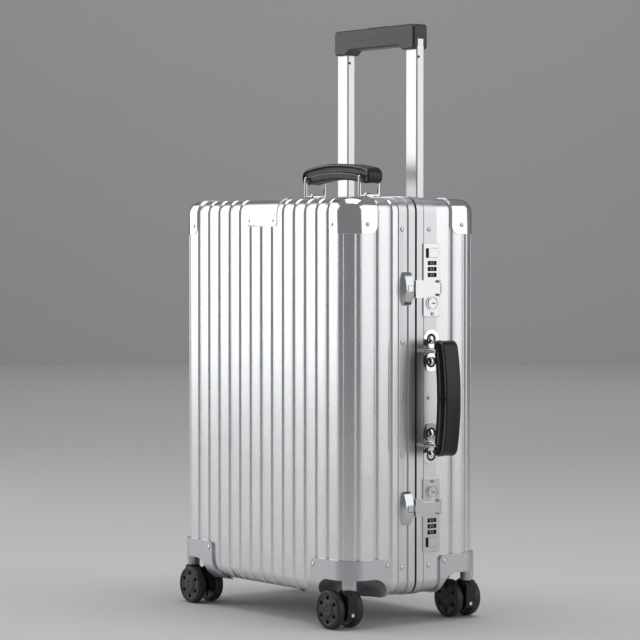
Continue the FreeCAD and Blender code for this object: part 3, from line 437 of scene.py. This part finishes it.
def column_places(straight, middles):
    """Places of the grid's columns along the path."""
    total = 2 * straight + 2 * arc + flat
    cuts = [0, straight, straight + arc, straight + arc + flat, total - straight, total]
    plan = []
    for start, end in zip(cuts, cuts[1:]):
        step = corner_step if abs(end - start - arc) < tiny else flat_step
        inside = [p - start for p in middles]
        plan += [start + p for p in columns(end - start, inside, step)][0 if start == 0 else 1:]
    return plan


# %% One half as a grid
def half_skin(name, side, frame_edge, side_grooves, corner_angles):
    """The pressed sheet of one half; side is -1 for the lid and +1 for the back."""
    straight = half_depth - corner_radius - frame_edge
    middles = groove_places(straight, frame_edge, side_grooves, corner_angles)
    plan = column_places(straight, middles)
    rows = skin_rows()
    points = []
    for u in plan:
        px, py, nx, ny = on_path(u, side, straight, frame_edge)
        nearest = min(abs(u - m) for m in middles)
        crown = band_crown * min(1.0, nearest / (groove_pitch / 2))
        press = sum(pressed_in(u - m) for m in middles) - crown
        on_face = straight + arc <= u <= straight + arc + flat
        for inset, height, tilt in rows:
            # Side and corner grooves run out before the top edge; face grooves go over it.
            push = press * (1.0 if on_face else math.cos(tilt) ** 2)
            level = inset + push * math.cos(tilt)
            points.append(Vector((px - nx * level, py - ny * level, height - push * math.sin(tilt))))
    high = len(rows)
    faces = []
    for i in range(len(plan) - 1):
        for j in range(high - 1):
            a = i * high + j
            faces.append((a, a + high, a + high + 1, a + 1))
    # The top and bottom faces carry the face grooves on to the frame.
    for row in (0, high - 1):
        before = len(points)
        ends = [points[i * high + row] for i in range(len(plan))]
        points += [Vector((end.x, side * frame_edge, end.z)) for end in ends]
        across = [i for i in range(len(plan) - 1) if abs(ends[i].x - ends[i + 1].x) > tiny]
        first, last = across[0], across[-1]
        faces.append([i * high + row for i in range(first + 2)] + [before + first + 1])
        for i in across[1:-1]:
            faces.append((i * high + row, (i + 1) * high + row, before + i + 1, before + i))
        faces.append([i * high + row for i in range(last, len(plan))] + [before + last])
    obj = make_object(name, points, faces, shell_metal)
    outward = Vector((0, side, 0))

    def join_and_turn(work):
        bmesh.ops.remove_doubles(work, verts=work.verts, dist=tiny)
        bmesh.ops.delete(work, geom=[v for v in work.verts if not v.link_faces], context="VERTS")
        face_out(work)
        facing = max(work.faces, key=lambda f: f.calc_center_median().dot(outward))
        if facing.normal.dot(outward) < 0:
            bmesh.ops.reverse_faces(work, faces=work.faces)

    rework(obj, join_and_turn)
    keep_creases(obj)
    return obj

# %% [markdown]
# The grid is one thin surface, so it is thickened to the 1.2 mm of the sheet.  Then the
# round caster wells and the trolley's cup are cut out with booleans, as a press would punch
# them: the well cutters lie inside the wall of the corner shoes, so the cut edge is hidden.

# %% Cutters
def cutter_object(name, work):
    """A bmesh as an object that is used only to cut with."""
    mesh = bpy.data.meshes.new(name)
    work.to_mesh(mesh)
    work.free()
    return link_object(name, mesh)


def cylinder_object(name, centre, radius, length, sides=96):
    """An upright cylinder."""
    work = bmesh.new()
    bmesh.ops.create_cone(work, cap_ends=True, segments=sides, radius1=radius, radius2=radius, depth=length)
    bmesh.ops.translate(work, verts=work.verts, vec=centre)
    return cutter_object(name, work)


def box_object(name, low, high):
    work = bmesh.new()
    bmesh.ops.create_cube(work, size=1.0)
    for v in work.verts:
        v.co = Vector([(a + b) / 2 + (b - a) * c for a, b, c in zip(low, high, v.co)])
    return cutter_object(name, work)


def punch(obj, cutters):
    """Cuts the cutters out of an object and removes them."""
    for cutter in cutters:
        cut = obj.modifiers.new("cut", "BOOLEAN")
        cut.operation = "DIFFERENCE"
        cut.solver = "MANIFOLD"
        cut.object = cutter
    freeze(obj)
    for cutter in cutters:
        bpy.data.objects.remove(cutter)


# %% Thicken and punch the skins
sheet_thickness = 1.2 * mm
swivel_x = 179.5 * mm
swivel_y = 97.0 * mm
well_radius = 54.4 * mm
well_top = 65 * mm


def finish_skin(obj, side, extra_cutters=()):
    thick = obj.modifiers.new("sheet", "SOLIDIFY")
    thick.thickness = sheet_thickness
    thick.offset = -1
    freeze(obj)
    wells = [cylinder_object("well", Vector((x * swivel_x, side * swivel_y, well_top / 2)),
                             well_radius, well_top) for x in (-1, 1)]
    punch(obj, wells + list(extra_cutters))
    keep_creases(obj)
    print(obj.name, "faces", len(obj.data.polygons))


# The lid, and then the back: frame edge, grooves on the sides (places in Y), grooves on the
# upright corners (degrees round them).
lid_skin = half_skin("lid_skin", -1, 25.5 * mm, (38.8 * mm, 62.0 * mm), (23, 67))
finish_skin(lid_skin, -1)
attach(lid_skin, "front_half")
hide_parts("front_shell")

bezel_low, bezel_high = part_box("trolley_bezel")
cup_half_width = 91.6 * mm
cup_front = 75.0 * mm
cup_back = 105.0 * mm
cup_above = 20 * mm           # the cutter stands clear of the top face
cup_cutter = box_object("cup", (-cup_half_width, cup_front, bezel_low.z),
                        (cup_half_width, cup_back, bezel_high.z + cup_above))
back_skin = half_skin("back_skin", 1, 33.5 * mm, (59.5 * mm,), (3, 42, 78))
finish_skin(back_skin, 1, [cup_cutter])
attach(back_skin, "rear_half")
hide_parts("rear_shell")

# %% [markdown]
# ## Wheels
# Each wheel is a polyurethane tyre cast on a moulded hub.  The hub face is a shallow dish
# with six round windows and a flat disc over the axle.  A turned shape like this comes from
# a half profile spun round the axle; the windows are drilled after that.

# %% A turned profile
def turn_profile(name, profile, centre, axis_sign, material, sides=72):
    """Spins (radius, offset along the axle) pairs, in mm, round a line through centre along Y."""
    points = []
    faces = []
    count = len(profile)
    for s in range(sides):
        angle = 2 * math.pi * s / sides
        for radius, offset in [(r * mm, o * mm) for r, o in profile]:
            points.append(centre + Vector((radius * math.cos(angle), axis_sign * offset,
                                           radius * math.sin(angle))))
    for s in range(sides):
        for k in range(count):
            a = s * count + k
            b = s * count + (k + 1) % count
            c = ((s + 1) % sides) * count + (k + 1) % count
            d = ((s + 1) % sides) * count + k
            faces.append((a, b, c, d))
    obj = make_object(name, points, faces, material)
    rework(obj, face_out)
    keep_creases(obj, 40)
    return obj


# %% Tyre and hub
# Half profiles in mm: (radius, offset along the axle, outward positive).
tyre_profile = [(21.2, -6.0), (22.6, -6.05), (23.7, -5.6), (24.5, -4.7), (24.9, -3.4), (25.0, -1.5),
                (25.0, 1.5), (24.9, 3.4), (24.5, 4.7), (23.7, 5.6), (22.6, 6.05), (21.2, 6.0),
                (20.9, 5.4), (20.9, -5.4)]
hub_profile = [(3.05, -5.8), (9.2, -5.8), (9.5, -5.5), (9.6, -5.0), (19.6, -5.0), (20.0, -5.5),
               (20.7, -5.5), (20.7, 5.5), (20.0, 5.5), (19.6, 5.0), (9.6, 5.0), (9.5, 5.5),
               (9.2, 5.9), (3.05, 5.9)]
cap_profile = [(0.01, 4.0), (2.9, 4.0), (2.9, 5.6), (2.4, 5.95), (0.01, 5.95)]
windows = 6
window_ring = 15.6 * mm
window_radius = 3.0 * mm
hub_edge = 0.35 * mm
print("tyre", max(r for r, _ in tyre_profile) * 2, "mm across")


# %% Wheels in place of the CAD ones


def build_wheel(node):
    """Replaces one CAD wheel; which side faces out follows from its place."""
    low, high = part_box(node)
    centre = (low + high) / 2
    side = 1 if centre.y > 0 else -1
    outward = side if "outer" in node else -side
    tyre = turn_profile(node + "_tyre", tyre_profile, centre, outward, tyre_rubber)
    hub = turn_profile(node + "_hub", hub_profile, centre, outward, hub_plastic)
    cap = turn_profile(node + "_axle_cap", cap_profile, centre, outward, hub_plastic, 32)
    cutters = []
    for k in range(windows):
        angle = 2 * math.pi * (k + 0.5) / windows
        cutter = cylinder_object("window", Vector((0, 0, 0)), window_radius, 20 * mm, 28)
        for v in cutter.data.vertices:
            at = Vector((window_ring * math.cos(angle), 0, window_ring * math.sin(angle)))
            v.co = Vector((v.co.x, -v.co.z, v.co.y)) + at + centre
        cutters.append(cutter)
    punch(hub, cutters)
    bevel = hub.modifiers.new("soft edge", "BEVEL")
    bevel.width = hub_edge
    bevel.segments = 2
    bevel.angle_limit = math.radians(40)
    freeze(hub)
    hub.data.shade_smooth()
    keep_creases(hub)
    for piece in (tyre, hub, cap):
        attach(piece, node)
        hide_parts(node)


wheel_nodes = [n for n in nodes if n.startswith("wheel_")]
for node in wheel_nodes:
    build_wheel(node)
print("wheels", len(wheel_nodes))

# %% [markdown]
# ## Leather grips
# A carrying grip is leather sewn round a core.  The outer leather wraps over the top and
# both ends and shows on each side as a rolled rim; a softer pad fills the lower half, and a
# deep channel runs between the two.  One grid makes all of it: it runs round the outline,
# and each of its rows crosses from the middle of one side, over the edge, to the other side.

# %% Grip outline and cross rows
grip_rise = 8.0 * mm          # how far the middle is arched over the ends
grip_end_round = 11.0 * mm
# Cross rows of the rim and of the pad: (way from the outline to the middle line, drop in mm).
rim_rows = [(0.0, 1.6), (0.07, 0.5), (0.15, 0.0), (0.24, 0.1), (0.32, 0.9), (0.38, 2.2), (0.46, 3.0),
            (0.70, 3.1), (0.86, 3.1), (0.93, 3.1), (1.0, 3.1)]
pad_rows = [(0.0, 2.4), (0.07, 1.3), (0.15, 0.8), (0.24, 0.6), (0.32, 0.5), (0.38, 0.5), (0.46, 0.5),
            (0.70, 0.3), (0.86, 0.5), (0.93, 1.6), (1.0, 3.1)]
# Rows over the edge: (place across, as a share of half the width, and swell in mm).
top_rows = [(-0.82, 0.35), (-0.66, 0.1), (-0.33, -0.3), (0.0, -0.4), (0.33, -0.3), (0.66, 0.1),
            (0.82, 0.35)]


def grip_outline(half_length, half_height):
    """Places (along, up) round the side of a straight grip, with the same steps on top as below."""
    flat = half_length - grip_end_round
    level = [-flat + 2 * flat * k / 48 for k in range(49)]
    right = []
    for k in range(1, 14):
        turn = math.pi / 2 - math.pi * k / 14
        bend = math.copysign(abs(math.sin(turn)) ** 0.8, math.sin(turn)) if k != 7 else 0.0
        right.append((flat + grip_end_round * math.cos(turn) ** 0.8, half_height * bend))
    left = [(-a, u) for a, u in reversed(right)]
    return [(a, half_height) for a in level] + right + [(a, -half_height) for a in reversed(level)] + left


def arch(along, half_length):
    """Rise of the grip's middle line over its ends."""
    return grip_rise * (1 - (along / half_length) ** 2)


def side_place(place, t, half_length, half_height):
    """A place on the side of the grip, moved from the outline toward its middle line by t."""
    along, up = place
    flat = half_length - half_height
    middle = max(-flat, min(flat, along))
    a = along + (middle - along) * t
    return a, up * (1 - t) + arch(a, half_length)


# %% One grip with its piping and stitches
piping_radius = 1.15 * mm
thread_radius = 0.28 * mm
stitch_pitch = 3.6 * mm
stitch_reach = 1.1 * mm       # half of one stitch
plain_end = 14 * mm           # no stitches this near the ends


def build_grip(name, body, node, to_world, half_length, half_w, half_h):
    """Builds one grip; to_world takes (along, across, up) to a place in the case's frame."""
    outline = grip_outline(half_length, half_h)
    points = []
    for place in outline:
        low = min(1.0, max(0.0, (-place[1] / half_h + 0.1) / 0.7))
        pad = low * low * (3 - 2 * low)
        inset = [(t, (rim * (1 - pad) + soft * pad) * mm)
                 for (t, rim), (_, soft) in zip(rim_rows, pad_rows)]
        for t, drop in reversed(inset):
            a, u = side_place(place, t, half_length, half_h)
            points.append(to_world(a, drop - half_w, u))
        for across, swell in top_rows:
            a, u = side_place(place, -swell * mm / half_h, half_length, half_h)
            points.append(to_world(a, across * half_w, u))
        for t, drop in inset:
            a, u = side_place(place, t, half_length, half_h)
            points.append(to_world(a, half_w - drop, u))
    count = 2 * len(rim_rows) + len(top_rows)
    faces = []
    for i in range(len(outline)):
        ahead = (i + 1) % len(outline)
        for j in range(count - 1):
            faces.append((i * count + j, ahead * count + j, ahead * count + j + 1, i * count + j + 1))
    grip = make_object(name, points, faces, leather, 60)

    def sew(work):
        bmesh.ops.remove_doubles(work, verts=work.verts, dist=0.02 * mm)
        face_out(work)

    rework(grip, sew)
    smooth = grip.modifiers.new("leather", "SUBSURF")
    smooth.levels = smooth.render_levels = 1
    freeze(grip)
    grip.data.shade_smooth()
    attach(grip, body)
    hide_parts(node)
    sew_grip(name, body, outline, to_world, half_length, half_w, half_h)


def sew_grip(name, body, outline, to_world, half_length, half_w, half_h):
    """Piping on the rim, over the top and both ends, and on the pad's lip; stitches between."""
    upper = [place for place in outline if place[1] > -0.75 * half_h]
    start = next(k for k, place in enumerate(upper) if place[0] < 0 and place[1] < 0)
    rim_path = upper[start:] + upper[:start]
    pad_path = [place for place in outline if place[1] <= -half_h * 0.999]
    beads = []
    dashes = []
    for side in (-1, 1):
        for path, t, sink in ((rim_path, 0.17, 1.0 * mm), (pad_path, 0.80, 0.8 * mm)):
            bead = []
            for place in path:
                a, u = side_place(place, t, half_length, half_h)
                bead.append(to_world(a, side * (half_w - sink), u))
            beads.append(bead)
        steps = int((half_length - plain_end) / stitch_pitch)
        for k in range(-steps, steps + 1):
            ends = []
            for d, sink in ((-stitch_reach, 0.75 * mm), (0.0, 0.35 * mm), (stitch_reach, 0.75 * mm)):
                a, u = side_place((k * stitch_pitch + d, -half_h), 0.62, half_length, half_h)
                ends.append(to_world(a, side * (half_w - sink), u))
            dashes.append(ends)
    # The piping's light grey colour is a painted highlight along the rolled edges.
    piping = tube_mesh(name + "_piping", beads, piping_radius, 10, piping_painted_highlight)
    thread = tube_mesh(name + "_stitches", dashes, thread_radius, 5, stitch_thread)
    for piece in (piping, thread):
        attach(piece, body)


def tube_mesh(name, paths, radius, sides, material):
    """Closed round tubes along lists of points."""
    points = []
    faces = []
    for path in paths:
        start = len(points)
        for k, place in enumerate(path):
            ahead = path[min(k + 1, len(path) - 1)] - path[max(k - 1, 0)]
            turn = ahead.to_track_quat("Z", "Y").to_matrix()
            for s in range(sides):
                angle = 2 * math.pi * s / sides
                rim = Vector((radius * math.cos(angle), radius * math.sin(angle), 0))
                points.append(place + turn @ rim)
        for k in range(len(path) - 1):
            for s in range(sides):
                a = start + k * sides + s
                b = start + k * sides + (s + 1) % sides
                faces.append((a, b, b + sides, a + sides))
        faces.append([start + s for s in range(sides)][::-1])
        last = start + (len(path) - 1) * sides
        faces.append([last + s for s in range(sides)])
    return make_object(name, points, faces, material, 50)


# %% Both grips
grip_inset = 0.6 * mm         # the leather lies just inside the CAD grip's box
low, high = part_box("top_grip")
grip_half = (high.x - low.x) / 2
grip_half_width = (high.y - low.y) / 2 - 0.3 * mm
grip_half_height = (high.z - low.z - grip_rise) / 2 * 0.95
grip_level = low.z + grip_half_height + grip_inset
grip_y = (low.y + high.y) / 2
build_grip("top_leather_grip", "top_grip", "top_grip",
           lambda along, across, up: Vector((along, grip_y + across, grip_level + up)),
           grip_half - 0.5 * mm, grip_half_width, grip_half_height)
low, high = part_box("side_grip")
side_level = low.x + grip_half_height + grip_inset
side_middle = (low.z + high.z) / 2
build_grip("side_leather_grip", "side_grip", "side_grip",
           lambda along, across, up: Vector((side_level + up, grip_y + across, side_middle - along)),
           grip_half - 0.5 * mm, grip_half_width, grip_half_height)
print("grips", round(grip_half * 2, 4), "long")

# %% [markdown]
# ## Finishes for the engineering parts
# Frames, caps, housings, locks, rivets, tubes and bails keep their exact shapes.  They get a
# weld, a small bevel so that edges catch the light as machined and cast edges do, and the
# right metal or plastic.  Shading is weighted by face area, so that the wide flat faces stay
# flat in a reflection and only the bevels turn.

# %% Dress the CAD nodes
def dress(node, material, bevel_width, angle=sharp_angle):
    """Gives one CAD node its finish and softened edges."""
    obj = nodes[node]
    obj.data.materials.clear()
    obj.data.materials.append(material)
    weld = obj.modifiers.new("weld", "WELD")
    weld.merge_threshold = 0.002 * mm
    if bevel_width:
        bevel = obj.modifiers.new("edge", "BEVEL")
        bevel.width = bevel_width
        bevel.segments = 2
        bevel.limit_method = "ANGLE"
        bevel.angle_limit = math.radians(angle)
        bevel.use_clamp_overlap = True
    obj.data.shade_smooth()
    keep_creases(obj, angle)
    weighted = obj.modifiers.new("flat faces", "WEIGHTED_NORMAL")
    weighted.mode = "FACE_AREA"
    weighted.weight = 80
    weighted.keep_sharp = True

# %% Which finish goes where


soft_edge = 0.25 * mm
finishes = {
    "front_frame": frame_metal, "rear_frame": frame_metal,
    "front_corner_caps": cap_metal, "rear_corner_caps": cap_metal, "badge_plate": badge_metal,
    "front_wheel_housings": housing_metal, "rear_wheel_housings": housing_metal,
    "front_rivets": rivet_steel, "rear_rivets": rivet_steel, "hinge_pins": rivet_steel,
    "top_handle_brackets": chrome_plate, "side_handle_brackets": chrome_plate,
    "top_bail_left": chrome_plate, "top_bail_right": chrome_plate,
    "side_bail_upper": chrome_plate, "side_bail_lower": chrome_plate,
    "rear_hinge_leaves": lock_chrome, "front_hinge_leaves": lock_chrome, "lock_keepers": lock_chrome,
    "trolley_outer_tubes": tube_metal, "trolley_mid_tubes": tube_metal, "trolley_inner_tubes": tube_metal,
    "trolley_stop_pins": fork_nylon, "trolley_feet": fork_nylon, "trolley_bezel": bezel_plastic,
    "trolley_grip": grip_plastic, "trolley_button": grip_plastic,
    "seam_seal": seal_rubber, "rear_lining": lining_cloth, "front_lining": lining_cloth,
}
for height in ("upper", "lower"):
    for part in ("plate", "lever", "slider", "key_barrel"):
        finishes[height + "_lock_" + part] = lock_chrome
    for k in (1, 2, 3):
        finishes[height + "_lock_dial_" + str(k)] = dial_plastic
for node in nodes:
    if node.startswith("caster_fork"):
        finishes[node] = fork_nylon
plain_edges = {"front_rivets", "rear_rivets", "seam_seal", "rear_lining", "front_lining", "hinge_pins",
               "trolley_stop_pins", "badge_plate", "top_bail_left", "top_bail_right",
               "side_bail_upper", "side_bail_lower"}
for node, material in finishes.items():
    dress(node, material, 0 if node in plain_edges else soft_edge)
print("dressed", len(finishes), "nodes")

# %% [markdown]
# ## Small things on the locks and casters
# Each dial carries ten pale marks in place of its printed numbers, so that it still reads as
# a number wheel and its turning shows.  Each mark is a thin printed block, laid on the rim of
# its own dial, and rides it.

# %% Blocks


def box_faces(centre, along, across, depth, size):
    """Eight corners and six faces of a small block laid along three directions."""
    points = [centre + along * a * size[0] / 2 + across * b * size[1] / 2 + depth * c * size[2] / 2
              for a in (-1, 1) for b in (-1, 1) for c in (-1, 1)]
    return points, [(0, 1, 3, 2), (4, 6, 7, 5), (0, 4, 5, 1), (2, 3, 7, 6), (0, 2, 6, 4), (1, 5, 7, 3)]


def add_blocks(name, blocks, material, body):
    """Many small blocks as one object that rides a body."""
    points = []
    faces = []
    for corners, sides in blocks:
        faces += [tuple(len(points) + k for k in side) for side in sides]
        points += corners
    obj = make_object(name, points, faces, material)
    rework(obj, face_out)
    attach(obj, body)


up = Vector((0, 0, 1))
back = Vector((0, 1, 0))
out_of_case = Vector((1, 0, 0))

# %% Marks on the dials
mark_paint = plastic("pale_printed_mark", "b9b9b6", "cfcfcc", 0.45, 0.4 * mm, 0.01 * mm)
mark_count = 10
mark_size = (2.9 * mm, 1.3 * mm, 0.3 * mm)
mark_sink = 0.12 * mm         # the print lies half in the dial's rim
first_mark = math.radians(16)
dial_names = [(height, str(k)) for height in ("upper", "lower") for k in (1, 2, 3)]
for height, k in dial_names:
    node = height + "_lock_dial_" + k
    low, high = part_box(node)
    radius = (high.y - low.y) / 2 - mark_sink
    marks = []
    for n in range(mark_count):
        turn = 2 * math.pi * n / mark_count + first_mark
        out = Vector((math.cos(turn), math.sin(turn), 0))
        marks.append(box_faces((low + high) / 2 + out * radius, up, up.cross(out), out, mark_size))
    add_blocks(node + "_marks", marks, mark_paint, height + "_dial_" + k)
print("dial marks", len(dial_names) * mark_count)

# %% [markdown]
# The number slide leaves a dark track bare beside it, which is one black block lying under
# the slide's sweep.  A small ring of red enamel beside each key barrel is a bent tube: it
# lies half sunk in the plate, so only a raised bead shows.

# %% Slide tracks and enamel rings
track_y = 17.2 * mm
track_width = 4.0 * mm
track_thickness = 0.4 * mm
track_under = 0.25 * mm       # the middle of the track below the slide's lower face
ring_y = 25.2 * mm
ring_x = 194.8 * mm           # the face of the lock plates
ring_from_key = 13.8 * mm
ring_radius = 1.75 * mm
ring_bead = 0.5 * mm
ring_steps = 24
for height, away_from_dials in (("upper", -1), ("lower", 1)):
    low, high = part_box(height + "_lock_slider")
    under = Vector((low.x - track_under, track_y, (low.z + high.z) / 2))
    track = box_faces(under, up, back, out_of_case, (high.z - low.z, track_width, track_thickness))
    add_blocks(height + "_slide_track", [track], fork_nylon, "rear_half")
    low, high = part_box(height + "_lock_key_barrel")
    spot = Vector((ring_x, ring_y, (low.z + high.z) / 2 + away_from_dials * ring_from_key))
    turns = [2 * math.pi * k / ring_steps for k in range(ring_steps + 1)]
    ring = [spot + Vector((0, ring_radius * math.cos(t), ring_radius * math.sin(t))) for t in turns]
    enamel = tube_mesh(height + "_red_ring", [ring], ring_bead, 8, red_enamel)
    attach(enamel, "rear_half")
print("tracks and rings ready")

# %% [markdown]
# A steel bolt closes each caster fork at its toe.  Its head is a short tube with closed ends,
# so a bright round spot shows between the wheels and turns with the caster.

# %% Bolts in the fork toes
bolt_radius = 2.3 * mm
bolt_height = 19 * mm         # over the floor
bolt_inset = 2.6 * mm         # from the fork's outer face
bolt_reach = (-1.0 * mm, 0.6 * mm)
forks = [node for node in nodes if node.startswith("caster_fork")]
for node in forks:
    low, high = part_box(node)
    outward = 1 if (low.x + high.x) > 0 else -1
    toe_x = (high.x if outward > 0 else low.x) - outward * bolt_inset
    toe = Vector((toe_x, (low.y + high.y) / 2, bolt_height))
    head = [toe + Vector((outward * reach, 0, 0)) for reach in bolt_reach]
    bolt = tube_mesh(node + "_bolt", [head], bolt_radius, 24, chrome_plate)
    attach(bolt, node.replace("fork_", ""))
print("bolts", len(forks))

# %% [markdown]
# ## Floor and light
# Bright metal shows what stands round it, so the set is built from reflections.  A tall soft
# box stands where the wide lid face mirrors it and another where the lock side does.  The
# room between them stays dim, so the upright corner and every groove read as darker lines.
# A pale floor and a plain backdrop finish the set.

# %% Floor and backdrop
def flat_paint(name, colour):
    return new_material(name, Base_Color=linear(colour), Roughness=0.75)[0]


floor_reach = 9.0
wall_distance = 7.5
wall_reach = 12.0
wall_height = 9.0
floor = make_object("floor", [Vector((x * floor_reach, y * floor_reach, 0))
                              for x, y in ((-1, -1), (1, -1), (1, 1), (-1, 1))],
                    [(0, 1, 2, 3)], flat_paint("matt_floor_paint", "dcdcdc"))
away = -toward_camera
away.z = 0
across = away.cross(up)
wall = make_object("wall", [away * wall_distance + across * x * wall_reach + up * z * wall_height
                            for x, z in ((-1, 0), (1, 0), (1, 1), (-1, 1))],
                   [(0, 1, 2, 3)], flat_paint("matt_wall_paint", "cfd0d1"))
print("floor and wall painted")

# %% Lights
world = bpy.data.worlds.new("studio")
bpy.context.scene.world = world
world.use_nodes = True
room = world.node_tree.nodes["Background"]
room.inputs["Color"].default_value = linear("b4b7ba")
room.inputs["Strength"].default_value = 0.42


def soft_light(name, place, aim, width, height, watts):
    """A soft box that points at a place."""
    data = bpy.data.lights.new(name, "AREA")
    data.shape = "RECTANGLE"
    data.size = width
    data.size_y = height
    data.energy = watts
    light = bpy.data.objects.new(name, data)
    light.location = place
    light.rotation_euler = (Vector(place) - Vector(aim)).to_track_quat("Z", "Y").to_euler()
    bpy.context.scene.collection.objects.link(light)


# The lid face looks along -Y and the lock side along +X, so these two directions are where
# each of them mirrors the camera's line of sight.
lid_mirror = Vector((-math.sin(azimuth), -math.cos(azimuth), 0))
lock_mirror = -lid_mirror
middle = up * 0.4
box_distance = 3.0
box_height = 1.35
box_size = 2.6
soft_light("lid_soft_box", lid_mirror * box_distance + up * box_height, middle, box_size, box_size, 30)
soft_light("lock_soft_box", lock_mirror * box_distance + up * box_height, middle, box_size, box_size, 22)
soft_light("top_light", (0.1, 0.1, 3.2), middle, 2.2, 2.2, 42)
soft_light("wall_light", (away + up) * 4.0, away * wall_distance + up * 1.2, 5.0, 2.0, 45)
bpy.context.scene.view_settings.view_transform = "Standard"
print("stage set")
